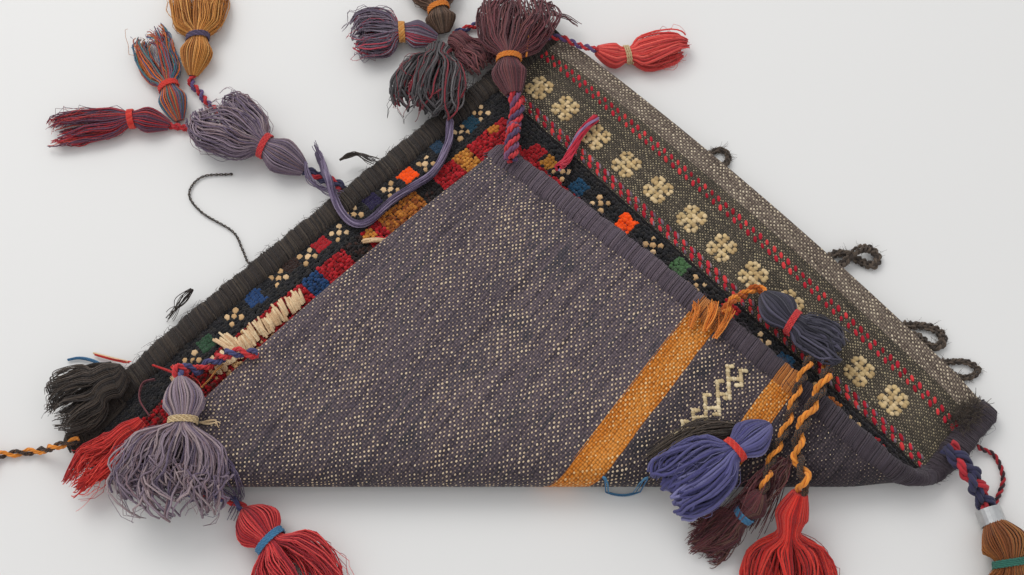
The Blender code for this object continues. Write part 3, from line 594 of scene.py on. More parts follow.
def grow(name, guide, tree, values):
    """Run a tree on a guide mesh and keep the result as a plain mesh in an object of its own."""
    source = new_object(name + "_guide", guide)
    modifier = source.modifiers.new("grow", "NODES")
    modifier.node_group = tree
    for item in tree.interface.items_tree:
        if item.in_out == "INPUT" and item.name in values:
            modifier[item.identifier] = values[item.name]
    evaluated = source.evaluated_get(bpy.context.evaluated_depsgraph_get())
    mesh = bpy.data.meshes.new_from_object(evaluated)
    mesh.name = name
    bpy.data.objects.remove(source)
    return new_object(name, mesh)


def guide_mesh(points, edges=None, **attributes):
    """Points with the values that a tree reads at each of them, joined in a line unless edges says otherwise."""
    mesh = bpy.data.meshes.new("guide")
    if edges is None:
        edges = [(index, index + 1) for index in range(len(points) - 1)]
    mesh.from_pydata([tuple(point) for point in points], edges, [])
    for label, values in attributes.items():
        values = np.asarray(values, np.float32)
        is_vector = values.ndim == 2
        made = mesh.attributes.new(label, "FLOAT_VECTOR" if is_vector else "FLOAT", "POINT")
        made.data.foreach_set("vector" if is_vector else "value", values.ravel())
    return mesh


# %% Guides and finished pieces
def cross_frame(centres):
    """Sideways and upward unit vectors, square to a line, at each of its points."""
    centres = np.array([tuple(centre) for centre in centres])
    forward = np.gradient(centres, axis=0)
    forward /= np.linalg.norm(forward, axis=1)[:, None]
    sideways = np.cross(forward, (0.0, 0.0, 1.0))
    sideways /= np.maximum(np.linalg.norm(sideways, axis=1), 1e-9)[:, None]
    return centres, sideways, np.cross(sideways, forward)


def keep(piece, material_slot, *nodes):
    """Let a finished piece ride on the object's body, and hide the CAD nodes that it stands for."""
    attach(piece, "root")
    if nodes:
        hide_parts(*nodes)
    piece.data.calc_loop_triangles()
    print(piece.name, "triangles:", len(piece.data.loop_triangles))
    return piece


# %% Steps that several trees share
def numbered(tree, copies):
    """Give each copy a number, strand, from which its material picks a shade, and make the copies real."""
    number = add(tree, "GeometryNodeInputIndex")
    marked = add(tree, "GeometryNodeStoreNamedAttribute", {"Geometry": copies, "Name": "strand", "Value": number},
                 data_type="FLOAT", domain="INSTANCE")
    return add(tree, "GeometryNodeRealizeInstances", {"Geometry": marked})


def strands_on_guide(tree, given, count):
    """The guide's line, once for each strand."""
    line = add(tree, "GeometryNodeMeshToCurve", {"Mesh": given["Guide"]})
    places = add(tree, "GeometryNodePoints", {"Count": count})
    return numbered(tree, add(tree, "GeometryNodeInstanceOnPoints", {"Points": places, "Instance": line}))


def measured(tree, curve):
    """Keep the length along each line, run, which the ripple of the twist follows."""
    length = add(tree, "GeometryNodeSplineParameter")
    return add(tree, "GeometryNodeStoreNamedAttribute",
               {"Geometry": curve, "Name": "run", "Value": length.outputs["Length"]}, data_type="FLOAT")


def in_section(tree, sideways, upwards):
    """How far a point moves in the guide's own section, whose width and height the guide carries."""
    wide, high = [add(tree, "GeometryNodeInputNamedAttribute", {"Name": name}, data_type="FLOAT_VECTOR")
                  for name in ("wide", "high")]
    on_wide = add(tree, "ShaderNodeVectorMath", {0: wide, "Scale": sideways}, operation="SCALE")
    on_high = add(tree, "ShaderNodeVectorMath", {0: high, "Scale": upwards}, operation="SCALE")
    return add(tree, "ShaderNodeVectorMath", {0: on_wide, 1: on_high}, operation="ADD")


def drift(tree, own, per_metre, detail, reach):
    """A slow wandering offset: noise over the guide's place, shifted by a strand's or a clump's own number."""
    spot = add(tree, "GeometryNodeInputPosition")
    scaled = add(tree, "ShaderNodeVectorMath", {0: spot, "Scale": per_metre}, operation="SCALE")
    where = add(tree, "ShaderNodeVectorMath", {0: scaled, 1: own}, operation="ADD")
    noise = add(tree, "ShaderNodeTexNoise", {"Vector": where, "Scale": 1.0, "Detail": detail})
    centred = add(tree, "ShaderNodeVectorMath", {0: noise.outputs["Color"], 1: (0.5, 0.5, 0.5)}, operation="SUBTRACT")
    return add(tree, "ShaderNodeVectorMath", {0: centred, "Scale": reach}, operation="SCALE")


def end_tree(tree, given, shape):
    """Shade the shape smooth, give it its material and hand it over."""
    soft = add(tree, "GeometryNodeSetShadeSmooth", {"Geometry": shape})
    dressed = add(tree, "GeometryNodeSetMaterial", {"Geometry": soft, "Material": given["Material"]})
    add(tree, "NodeGroupOutput", {0: dressed})
    print(tree.name, "has", len(tree.nodes), "nodes")


def end_in_yarn(tree, given, curve, radius, **thickness):
    """Sweep a round section along the lines. Its own length is kept as around, for the slant of the twist."""
    circle = add(tree, "GeometryNodeCurvePrimitiveCircle", {"Resolution": given["Sides"], "Radius": radius})
    round_it = add(tree, "GeometryNodeSplineParameter")
    profile = add(tree, "GeometryNodeStoreNamedAttribute",
                  {"Geometry": circle, "Name": "around", "Value": round_it.outputs["Factor"]}, data_type="FLOAT")
    tubes = add(tree, "GeometryNodeCurveToMesh",
                {"Curve": curve, "Profile Curve": profile, "Fill Caps": True, **thickness})
    end_tree(tree, given, tubes)


# %% Tree: a bunch of yarns
bunch_tree, given = new_tree("yarn_bunch", {
    "Strands": 60, "Yarn Radius": 0.0006, "Fill": 0.4, "Wander": 0.002, "Shortening": 0.5, "Loop Spread": 0.5,
    "Clumps": 7.0, "Clump Wander": 0.006, "Parting": 0.7, "Sides": 4, "Seed": 1})
tree = bunch_tree
GOLDEN_ANGLE = 2.39996
GOLDEN_SHARE = 0.381966
strands = strands_on_guide(tree, given, given["Strands"])
strand, side, free, lowest, thin = [
    add(tree, "GeometryNodeInputNamedAttribute", {"Name": name}, data_type="FLOAT")
    for name in ("strand", "side", "free", "lowest", "thin")]
short = add(tree, "GeometryNodeInputNamedAttribute", {"Name": "short"}, data_type="FLOAT_VECTOR")

# %% Where each strand sits in the bunch
# A sunflower's rule spreads the strands evenly: each turns by the golden angle.
half_on = add(tree, "ShaderNodeMath", {0: strand, 1: 0.5}, operation="ADD")
share = add(tree, "ShaderNodeMath", {0: half_on, 1: given["Strands"]}, operation="DIVIDE")
out = add(tree, "ShaderNodeMath", {0: share, 1: given["Fill"]}, operation="POWER")
golden = add(tree, "ShaderNodeMath", {0: strand, 1: GOLDEN_ANGLE}, operation="MULTIPLY")
spread = add(tree, "FunctionNodeRandomValue", {2: -1.0, 3: 1.0, 7: strand, 8: given["Seed"]}, data_type="FLOAT")
swing = add(tree, "ShaderNodeMath", {0: spread.outputs[1], 1: given["Loop Spread"]}, operation="MULTIPLY")

# %% Strands gather into clumps
# Neighbours keep together: each strand turns towards the middle of its own sector as it runs free.
sector_share = add(tree, "ShaderNodeMath", {0: strand, 1: GOLDEN_SHARE}, operation="MULTIPLY")
sector_part = add(tree, "ShaderNodeMath", {0: sector_share}, operation="FRACT")
sector_of = add(tree, "ShaderNodeMath", {0: sector_part, 1: given["Clumps"]}, operation="MULTIPLY")
clump = add(tree, "ShaderNodeMath", {0: sector_of}, operation="FLOOR")
past_start = add(tree, "ShaderNodeMath", {0: sector_of}, operation="FRACT")
to_middle = add(tree, "ShaderNodeMath", {0: 0.5, 1: past_start}, operation="SUBTRACT")
in_turns = add(tree, "ShaderNodeMath", {0: to_middle, 1: given["Clumps"]}, operation="DIVIDE")
freedom = add(tree, "ShaderNodeMath", {0: free, 1: given["Parting"]}, operation="MULTIPLY")
part_turns = add(tree, "ShaderNodeMath", {0: in_turns, 1: freedom}, operation="MULTIPLY")
gathered = add(tree, "ShaderNodeMath", {0: part_turns, 1: 2 * math.pi, 2: golden}, operation="MULTIPLY_ADD")
turned = add(tree, "ShaderNodeMath", {0: swing, 1: side, 2: gathered}, operation="MULTIPLY_ADD")
cosine = add(tree, "ShaderNodeMath", {0: turned}, operation="COSINE")
sine = add(tree, "ShaderNodeMath", {0: turned}, operation="SINE")
sideways = add(tree, "ShaderNodeMath", {0: cosine, 1: out}, operation="MULTIPLY")
upwards = add(tree, "ShaderNodeMath", {0: sine, 1: out}, operation="MULTIPLY")
section = in_section(tree, sideways, upwards)

# %% Each strand wanders
# It wanders a little, more towards its free end, in waves of about 11 mm.
apart = add(tree, "ShaderNodeMath", {0: strand, 1: 5.7}, operation="MULTIPLY")
own = add(tree, "ShaderNodeCombineXYZ", {0: apart, 1: side, 2: given["Seed"]})
amount = add(tree, "ShaderNodeMath", {0: free, 1: given["Wander"]}, operation="MULTIPLY")
strand_drift = drift(tree, own, 90.0, 1.0, amount)

# %% Each clump wanders, and some strands are shorter
# A clump drifts in waves of about 24 mm, and has a length of its own.
clump_step = add(tree, "ShaderNodeMath", {0: clump, 1: 3.3}, operation="MULTIPLY")
clump_own = add(tree, "ShaderNodeCombineXYZ", {0: clump_step, 1: given["Seed"]})
clump_amount = add(tree, "ShaderNodeMath", {0: free, 1: given["Clump Wander"]}, operation="MULTIPLY")
clump_drift = drift(tree, clump_own, 42.0, 0.0, clump_amount)
lot = add(tree, "FunctionNodeRandomValue", {2: -0.25, 3: 0.8, 7: strand, 8: 5}, data_type="FLOAT")
clump_lot = add(tree, "FunctionNodeRandomValue", {2: -0.3, 3: 0.6, 7: clump, 8: given["Seed"]}, data_type="FLOAT")
lots = add(tree, "ShaderNodeMath", {0: lot.outputs[1], 1: clump_lot.outputs[1]}, operation="ADD")
cut = add(tree, "ShaderNodeMath", {0: lots, 1: given["Shortening"]}, operation="MULTIPLY")
back = add(tree, "ShaderNodeVectorMath", {0: short, "Scale": cut}, operation="SCALE")
both_drifts = add(tree, "ShaderNodeVectorMath", {0: strand_drift, 1: clump_drift}, operation="ADD")
moved = add(tree, "ShaderNodeVectorMath", {0: section, 1: both_drifts}, operation="ADD")
total = add(tree, "ShaderNodeVectorMath", {0: moved, 1: back}, operation="ADD")
placed = add(tree, "GeometryNodeSetPosition", {"Geometry": strands, "Offset": total})

# %% The strands come to rest
# No strand goes below what the tassel lies on.
now = add(tree, "ShaderNodeSeparateXYZ", {0: add(tree, "GeometryNodeInputPosition")})
least = add(tree, "ShaderNodeMath", {0: lowest, 1: given["Yarn Radius"]}, operation="ADD")
held = add(tree, "ShaderNodeMath", {0: now.outputs[2], 1: least}, operation="MAXIMUM")
kept = add(tree, "ShaderNodeCombineXYZ", {0: now.outputs[0], 1: now.outputs[1], 2: held})
rested = add(tree, "GeometryNodeSetPosition", {"Geometry": placed, "Position": kept})
end_in_yarn(tree, given, measured(tree, rested), given["Yarn Radius"], Scale=thin)


# %% [markdown]
# ## Twisted and plaited cords
# A twisted cord is two or more plies that go round each other in a helix. A plait of three goes from side to
# side at one speed and up and down at twice that speed. One tree does both: an input mixes the two rules.
# Each ply may itself be several yarns, which go round the ply the other way, as in real cord.

# %% Tree: plies along a line
ply_tree, given = new_tree("plied_cord", {
    "Plies": 2, "Yarns per Ply": 3, "Cord Radius": 0.0025, "Ply Share": 0.5, "Lay": 0.012, "Plait": 0.0,
    "Sides": 6, "Start": 0.0})
tree = ply_tree
count = add(tree, "ShaderNodeMath", {0: given["Plies"], 1: given["Yarns per Ply"]}, operation="MULTIPLY")
strands = strands_on_guide(tree, given, count)
strand, run = [add(tree, "GeometryNodeInputNamedAttribute", {"Name": name}, data_type="FLOAT")
               for name in ("strand", "run")]
per_ply = add(tree, "ShaderNodeMath", {0: strand, 1: given["Yarns per Ply"]}, operation="DIVIDE")
ply = add(tree, "ShaderNodeMath", {0: per_ply}, operation="FLOOR")
place_in_ply = add(tree, "ShaderNodeMath", {0: per_ply}, operation="FRACT")
ply_share = add(tree, "ShaderNodeMath", {0: ply, 1: given["Plies"]}, operation="DIVIDE")
laid_run = add(tree, "ShaderNodeMath", {0: run, 1: given["Lay"]}, operation="DIVIDE")
turns = add(tree, "ShaderNodeMath", {0: laid_run, 1: ply_share}, operation="ADD")
begun = add(tree, "ShaderNodeMath", {0: turns, 1: given["Start"]}, operation="ADD")
phase = add(tree, "ShaderNodeMath", {0: begun, 1: 2 * math.pi}, operation="MULTIPLY")
doubled = add(tree, "ShaderNodeMath", {0: phase, 1: 2.0}, operation="MULTIPLY")
helix_side = add(tree, "ShaderNodeMath", {0: phase}, operation="SINE")
helix_up = add(tree, "ShaderNodeMath", {0: phase}, operation="COSINE")
plait_up = add(tree, "ShaderNodeMath", {0: doubled}, operation="SINE")
plait_low = add(tree, "ShaderNodeMath", {0: plait_up, 1: 0.55}, operation="MULTIPLY")
up_share = add(tree, "ShaderNodeMix", {0: given["Plait"], 2: helix_up, 3: plait_low})

# %% The yarns inside a ply
# The ply is as thick as its share of the cord, and its yarns go round inside it, the other way.
BACK_LAY = -1.7
ply_radius = add(tree, "ShaderNodeMath", {0: given["Cord Radius"], 1: given["Ply Share"]}, operation="MULTIPLY")
room = add(tree, "ShaderNodeMath", {0: given["Cord Radius"], 1: ply_radius}, operation="SUBTRACT")
side_way = add(tree, "ShaderNodeMath", {0: helix_side, 1: room}, operation="MULTIPLY")
up_way = add(tree, "ShaderNodeMath", {0: up_share, 1: room}, operation="MULTIPLY")
is_single = add(tree, "ShaderNodeMath", {0: given["Yarns per Ply"], 1: 1.5}, operation="LESS_THAN")
yarn_share = add(tree, "ShaderNodeMix", {0: is_single, 2: 0.48, 3: 1.0})
yarn_radius = add(tree, "ShaderNodeMath", {0: ply_radius, 1: yarn_share}, operation="MULTIPLY")
ring = add(tree, "ShaderNodeMath", {0: ply_radius, 1: yarn_radius}, operation="SUBTRACT")
back_turn = add(tree, "ShaderNodeMath", {0: laid_run, 1: BACK_LAY, 2: place_in_ply}, operation="MULTIPLY_ADD")
sub_phase = add(tree, "ShaderNodeMath", {0: back_turn, 1: 2 * math.pi}, operation="MULTIPLY")
sub_side = add(tree, "ShaderNodeMath", {0: sub_phase}, operation="SINE")
sub_up = add(tree, "ShaderNodeMath", {0: sub_phase}, operation="COSINE")
all_side = add(tree, "ShaderNodeMath", {0: sub_side, 1: ring, 2: side_way}, operation="MULTIPLY_ADD")
all_up = add(tree, "ShaderNodeMath", {0: sub_up, 1: ring, 2: up_way}, operation="MULTIPLY_ADD")
placed = add(tree, "GeometryNodeSetPosition", {"Geometry": strands, "Offset": in_section(tree, all_side, all_up)})
named = add(tree, "GeometryNodeStoreNamedAttribute",
            {"Geometry": placed, "Name": "ply", "Value": ply_share}, data_type="FLOAT")
end_in_yarn(tree, given, named, yarn_radius)


# %% Winding yarn along a line
def wind(name, centres, radius, material, plies=2, yarns=3, lay=None, plait=0.0, step=0.0009, start=0.0):
    """Plies of yarn along a line of points; gives the piece and the line that it follows."""
    route = [Vector(centre) for centre in centres]
    length = route_length(route)
    count = max(int(length / step), 8)
    line = [along(route, length * index / count) for index in range(count + 1)]
    points, sideways, upward = cross_frame(line)
    # Equal round plies that touch each other fill these shares of the cord's radius.
    share = {2: 0.5, 3: 0.464, 4: 0.414}.get(plies, 0.36)
    guide = guide_mesh(points, wide=sideways, high=upward, run=np.linspace(0.0, length, count + 1))
    made = grow(name, guide, ply_tree, {
        "Plies": plies, "Yarns per Ply": yarns, "Cord Radius": radius, "Ply Share": share,
        "Lay": lay or 5.0 * radius, "Plait": plait, "Material": material, "Start": start})
    return made, line


# %% Yarn in a bunch
LOOP_LENGTH = 0.007


def bunch(name, centres, stations, material, strands=150, yarn=0.0005, looped=False, wander=0.003, shortening=0.6,
          fill=0.4, clumps=7.0, clump_wander=0.010, parting=0.7, seed=1):
    """Yarns from the neck over the head, through the tie and out to the tip, looped back there or cut."""
    rows = [Vector((*centre, *station)) for centre, station in zip(centres, stations)]
    rows = np.array([tuple(row) for row in smooth_route(rows, samples_per_span=3)])
    points, sideways, upward = cross_frame(rows[:, :3])
    distance, half, high = rows[:, 3], rows[:, 4], rows[:, 5]
    head, tip = (stations[3][0] + stations[4][0]) / 2, stations[-1][0]
    free = np.clip((distance - head) / (tip - head), 0.0, 1.0)
    nearer = np.where(distance > head, head + (distance - head) * 0.65, distance)
    pulled = np.column_stack([np.interp(nearer, distance, points[:, axis]) for axis in range(3)])
    lowest = points[:, 2] - high
    thin = 1 - 0.35 * free ** 4
    side = np.zeros(len(points))
    if looped:
        side = 0.5 * smooth_steps((distance - tip + LOOP_LENGTH) / LOOP_LENGTH)
        side = np.concatenate([side, 1 - side[::-1]])
        points, pulled, sideways, upward, half, high, free, lowest = [
            np.concatenate([values, values[::-1]])
            for values in (points, pulled, sideways, upward, half, high, free, lowest)]
        thin = np.ones(len(points))
    guide = guide_mesh(points, wide=sideways * half[:, None], high=upward * high[:, None], short=pulled - points,
                       free=free, lowest=lowest, side=side, thin=thin)
    return grow(name, guide, bunch_tree, {
        "Strands": strands, "Yarn Radius": yarn, "Fill": fill, "Wander": wander, "Shortening": shortening,
        "Loop Spread": 1.1, "Clumps": clumps, "Clump Wander": clump_wander, "Parting": parting, "Seed": seed,
        "Material": material})


# %% [markdown]
# ## The wools
# Each dye is a small family of close shades, because one hank is never even. The mixed tassel holds several dyes.
# Cords take one shade for each of their plies, so that they show as slanting bands of colour.

# %% Dyed wools
# Wool takes dye in matt, lively tones, lighter and darker from yarn to yarn in one hank.
PLUM = wool("plum_wool", "60526c", "72647c", "50445a", "84768c")
PLUM_AND_RED = wool("plum_and_red_wool", "665a66", "786c78", "564a56", "8a7c88", "605464", "ae3846", "6e6070",
                    "7e727e")
CRIMSON = wool("crimson_wool", "cc363a", "b82a30", "da4c48", "982430")
LIGHT_RED = wool("light_red_wool", "da5048", "cc423e", "e26256", "b83838")
SCARLET = wool("scarlet_wool", "d2362e", "bc2824", "e04c3e", "a02024")
RASPBERRY = wool("red_and_purple_wool", "b43038", "5e4454", "962a34", "524458", "c44c3e", "6c4a58", "8a3040")
MIXED = wool("many_dyes_wool", "d06c2c", "3f7490", "ac3434", "2f6e74", "c87e30", "5c5272", "a8442e")
OCHRE = wool("ochre_wool", "ce8c44", "b87434", "dca25a", "a0662e")
BROWN_OCHRE = wool("brown_ochre_wool", "864a24", "985c2e", "6c3c20", "a06a36")
ORANGE = wool("orange_wool", "d87a28", "e28c3a", "c66c20")
GREY_RED = wool("grey_and_red_wool", "4e4b4c", "403d3e", "605b5c", "8e2c36", "4a4747", "6e6969", "464343", "565152")
BROWN = wool("dark_brown_wool", "5e4636", "705646", "4a382c", "826a56")
BURGUNDY = wool("burgundy_wool", "6e3c40", "582f35", "7e4c4a", "4a2a30", "624042", "763f44")
DARK_BURGUNDY = wool("dark_burgundy_wool", "622e36", "703838", "4c2a2e", "6a4a3e")
PURPLE_MIX = wool("purple_and_brown_wool", "887682", "706072", "9a8890", "826a6e", "625468", "a69292")
LILAC = wool("lilac_wool", "565380", "686590", "454270", "7a77a0", "39365e")
NAVY = wool("navy_wool", "44414d", "37353f", "555161", "2d2b34")
DEEP_RED = wool("deep_red_wool", "c82a22", "b0201c", "d43e30", "941a1c")
# Goat hair is undyed, coarser and nearly black.
GOAT = wool("dark_goat_hair", "362f2b", "423933", "2b2523", "4e443c", "5a4d43")
CREAM = wool("cream_wool", "d8bf94", "c8ac80", "e2cca6")
BLUE = wool("blue_wool", "40749a", "5086aa", "345e80")
TEAL = wool("teal_wool", "2e6456", "3c7868", "245044")
# Plied yarn of two dyes shows slanting bands.
NAVY_RED_PLIES = wool("navy_and_red_plies", "383650", "b02c34", "443c58", by="ply")
ORANGE_DARK_PLIES = wool("orange_and_dark_plies", "de8a34", "2e2b2a", by="ply")
ORANGE_PLIES = wool("orange_plies", "dc8430", "a8521e", by="ply")
RED_NAVY_THIRDS = wool("red_navy_and_purple_plies", "c03438", "48405e", "c03438", "6a4a68", by="ply")
CRIMSON_NAVY_PLIES = wool("crimson_and_navy_plies", "c03438", "58507c", by="ply")
RED_LILAC_PLIES = wool("red_and_lilac_plies", "c42a40", "c42a40", "8a7090", by="ply")
CRIMSON_BLACK_PLIES = wool("crimson_and_black_plies", "a8262e", "2a252a", by="ply")
BLUE_RED_PLIES = wool("blue_and_red_plies", "4c4c74", "c83634", by="ply")
print("wool materials:", len([made for made in bpy.data.materials if "wool" in made.name or "plies" in made.name]))


# %% [markdown]
# ## Where the tassels lie
# Each route goes from the neck to the tip, in millimetres. The shape gives the head's and the skirt's length
# and width. The tassel's cord ends in its neck, so the tassels are laid before the cords.

# %% Tassel routes and shapes
def shape_of(head_length, head_width, skirt_length, skirt_width, neck_radius, **more):
    """A tassel's sizes, from millimetres to metres; the other values are shares."""
    sizes = {"head_length": head_length, "head_width": head_width, "skirt_length": skirt_length,
             "skirt_width": skirt_width, "neck_radius": neck_radius}
    lengths = ("lift", "tip_lift", "neck_reach")
    more = {key: value / 1000 if key in lengths else value for key, value in more.items()}
    return {key: value / 1000 for key, value in sizes.items()} | more


FERRULE_LIFT = (FERRULE_WALL + SEAT_CLEARANCE) * 1000
TASSELS = {
    "left_grey": ([(-135, 51), (-160, 64), (-196, 88)], shape_of(26, 23, 42, 44, 4.2, tip_lift=5.2)),
    "left_red": ([(-223, 84), (-246, 86), (-296, 79)], shape_of(23, 17, 50, 25, 3.0)),
    "left_mixed": ([(-216.6, 87.7), (-226, 113), (-243, 154)], shape_of(21, 18, 43, 27, 3.0)),
    "left_ochre": ([(-211, 121), (-209, 145), (-214, 191)], shape_of(25, 21, 45, 38, 3.0)),
    "top_purple": ([(-54.9, 148.6), (-77, 151), (-109, 150)], shape_of(22, 19, 32, 38, 4.0)),
    "top_grey": ([(-51.9, 143.3), (-55, 118), (-60, 87)], shape_of(12, 18, 46, 46, 4.0, waist=0.85)),
    "top_brown": ([(-50, 153.9), (-53, 168), (-62, 206)], shape_of(16, 20, 38, 34, 4.0)),
    "top_burgundy": ([(-43.5, 149.4), (-32.5, 137.3), (-22, 123)],
                     shape_of(10, 16, 30, 22, 4.0, waist=0.85, flatness=0.40)),
    "apex_burgundy": ([(-4, 95), (-7, 119), (0, 173)], shape_of(24, 22, 54, 50, 5.2, lift=5.8, flatness=0.34)),
    "top_red": ([(50, 134), (70, 134), (107, 142)], shape_of(20, 17, 38, 29, 3.0, neck_reach=10)),
    "low_grey": ([(-192, -99), (-187, -124), (-197, -171)], shape_of(26, 23, 47, 62, 4.2, flatness=0.26)),
    "low_red": ([(-154, -168), (-138, -186), (-110, -220)], shape_of(25, 27, 45, 50, 3.6)),
    "corner_red": ([(-301, -135), (-316, -139), (-344, -146)], shape_of(14, 14, 30, 18, 2.8, waist=0.8)),
    "corner_dark": ([(-228, -89), (-245, -99), (-266, -112)],
                    shape_of(16, 24, 36, 38, 6.0, waist=0.95, flatness=0.26, head_flatness=0.36)),
    "corner_crimson": ([(-213, -120), (-230, -136), (-249, -153)],
                       shape_of(16, 18, 38, 26, 5.0, waist=0.95, flatness=0.32, head_flatness=0.5)),
    "right_purple": ([(144, -41), (157, -61), (184, -76)], shape_of(24, 22, 30, 26, 3.6, tip_lift=8.5)),
    "right_lilac": ([(137, -126), (117, -141), (80, -164)], shape_of(26, 21, 46, 40, 3.4, flatness=0.36)),
    "right_burgundy": ([(131, -163), (123, -173), (96, -186)], shape_of(14, 16, 30, 26, 3.0, neck_reach=10)),
    "right_red": ([(152, -164), (147, -181), (146, -222)],
                  shape_of(18, 18, 42, 54, 4.2, flatness=0.26, waist=0.8, neck_reach=10)),
    "corner_ochre": ([(263, -176), (267, -197), (266, -240)], shape_of(23, 27, 42, 32, 6.0, lift=FERRULE_LIFT)),
}
bunches = {name: lay_bunch(mm(*route), shape) for name, (route, shape) in TASSELS.items()}
necks = {name: neck_of(centres) for name, (centres, stations) in bunches.items()}
print("tassels laid:", len(bunches))


# %% [markdown]
# ## Cords
# A cord's plies go once round each other in 6 to 30 mm, and those of the two loose hanks in more. Each cord has
# its real length, which the photograph shows, and it ends in the neck of its tassel.

# %% Cord lines
def strands_lift(share):
    """The long purple yarns hop 8.5 mm over the bag's left roll near their end."""
    return 0.0085 * smooth_steps((share - 0.72) / 0.1) * smooth_steps((0.99 - share) / 0.08)


def end_at(name):
    """Where a cord ends that carries the named tassel."""
    return {"end": necks[name]}


CORDS = {
    "left_braid": (side_points(-1, 0.022, 0.0038) + mm((-121, 44), (-135, 51)), 0.0038,
                   {"start_height": BINDING_HEIGHT / 2, "on_floor": True} | end_at("left_grey")),
    "left_red_cord": (mm((-186, 84), (-205, 82), (-223, 84)), 0.0027, end_at("left_red")),
    "left_ochre_cord": (mm((-186.6, 89.2), (-202, 103), (-211, 121)), 0.0027, end_at("left_ochre")),
    "left_loose_cord": (side_points(-1, -0.052, 0.002)
                        + mm((-170, -2), (-177, 10), (-197, 23), (-206, 36), (-199, 48), (-180, 50)), 0.0010,
                        {"start_height": BINDING_HEIGHT / 2, "on_floor": True}),
    "top_cord": (side_points(-1, 0.176, 0.0026) + mm((-12, 156), (-22, 162), (-31, 160), (-43.9, 153.9)), 0.0026,
                 {"start_height": BINDING_HEIGHT / 2, "on_floor": True}),
    "apex_braid": (mm((-6, 44), (-4, 70), (-4, 95)), 0.0048, end_at("apex_burgundy")),
    "top_red_cord": (mm((9, 144), (26, 144), (39, 138), (50, 134)), 0.0024, end_at("top_red")),
    "purple_yarn": (mm((-44, 82), (-45, 64), (-54, 43), (-76, 26), (-95, 8), (-109, 17), (-119, 41), (-127, 64)),
                    0.0026, {"lifts": strands_lift}),
    "red_yarn_strap": (mm((48, 84), (38, 71), (29, 52), (23, 40)), 0.0028, {}),
    "low_grey_cord": (mm((-150, -82), (-169, -81), (-184, -86), (-192, -99)), 0.0036, end_at("low_grey")),
    "low_red_cord": (mm((-190, -155.8), (-176, -156.6), (-166, -160), (-154, -168)), 0.0031,
                     {"on_floor": True} | end_at("low_red")),
    "corner_cord": (mm((-250, -128), (-263, -132), (-281, -132), (-301, -135)), 0.0026, end_at("corner_red")),
    "right_orange_cord": (mm((117, -56), (126, -45), (136, -38), (144, -41)), 0.0030, end_at("right_purple")),
    "right_cord_1": (mm((168, -80), (159, -96), (147, -127), (137, -147), (131, -163)), 0.0031,
                     end_at("right_burgundy")),
    "right_cord_2": (mm((178, -84), (169, -103), (156, -127), (152, -146), (152, -164)), 0.0041,
                     end_at("right_red")),
    "corner_braid": (mm((240, -133), (251, -150), (263, -176)), 0.0060,
                     {"lifts": lambda share: (FERRULE_WALL + SEAT_CLEARANCE) * share} | end_at("corner_ochre")),
    "corner_thin_cord": (side_points(1, 0.176, 0.0016) + mm((271, -134), (274, -148), (267, -163)), 0.0016,
                         {"start_height": BINDING_HEIGHT / 2, "on_floor": True}),
}
lines = {name: lay_cord(route, radius, **how) for name, (route, radius, how) in CORDS.items()}
for name, line in lines.items():
    print(name, "mm:", round(route_length(line) * 1000, 1))

# %% Cord yarn
CORD_YARN = {
    "left_braid": (NAVY_RED_PLIES, {"plies": 3, "plait": 1.0, "lay": 0.020}),
    "left_red_cord": (RED_NAVY_THIRDS, {"lay": 0.010}),
    "left_ochre_cord": (CRIMSON_NAVY_PLIES, {"lay": 0.010}),
    "left_loose_cord": (GOAT, {"yarns": 2, "lay": 0.006}),
    "top_cord": (BLUE_RED_PLIES, {"lay": 0.012}),
    "apex_braid": (RED_NAVY_THIRDS, {"plies": 4, "lay": 0.022}),
    "top_red_cord": (CRIMSON_NAVY_PLIES, {"lay": 0.011}),
    "purple_yarn": (PLUM, {"plies": 7, "yarns": 3, "lay": 0.110}),
    "red_yarn_strap": (RED_LILAC_PLIES, {"plies": 6, "yarns": 3, "lay": 0.070}),
    "low_grey_cord": (BLUE_RED_PLIES, {"lay": 0.016}),
    "low_red_cord": (BLUE_RED_PLIES, {"lay": 0.016}),
    "corner_cord": (ORANGE_DARK_PLIES, {"lay": 0.016}),
    "right_orange_cord": (ORANGE_PLIES, {"lay": 0.014}),
    "right_cord_1": (ORANGE_DARK_PLIES, {"lay": 0.018}),
    "right_cord_2": (ORANGE_DARK_PLIES, {"lay": 0.022}),
    "corner_braid": (NAVY_RED_PLIES, {"plies": 3, "plait": 1.0, "lay": 0.030}),
    "corner_thin_cord": (CRIMSON_BLACK_PLIES, {"yarns": 1, "lay": 0.007}),
}
SLOTS = {entry["node"]: entry["material_slot"] for entry in frame["record"]["subparts"]}
cords = {}
for name, (material, how) in CORD_YARN.items():
    radius = CORDS[name][1]
    piece, path = wind(name + "_yarn", lines[name], radius, material, **how)
    cords[name] = (keep(piece, SLOTS[name], name), path)


# %% [markdown]
# ## Tassels
# A tassel is a hank of yarn folded over its cord and tied once below the fold. Some here are looped at the
# tip, and the others are cut. Their yarns are 0.6 to 2 mm thick, so that a head shows as wound yarn.

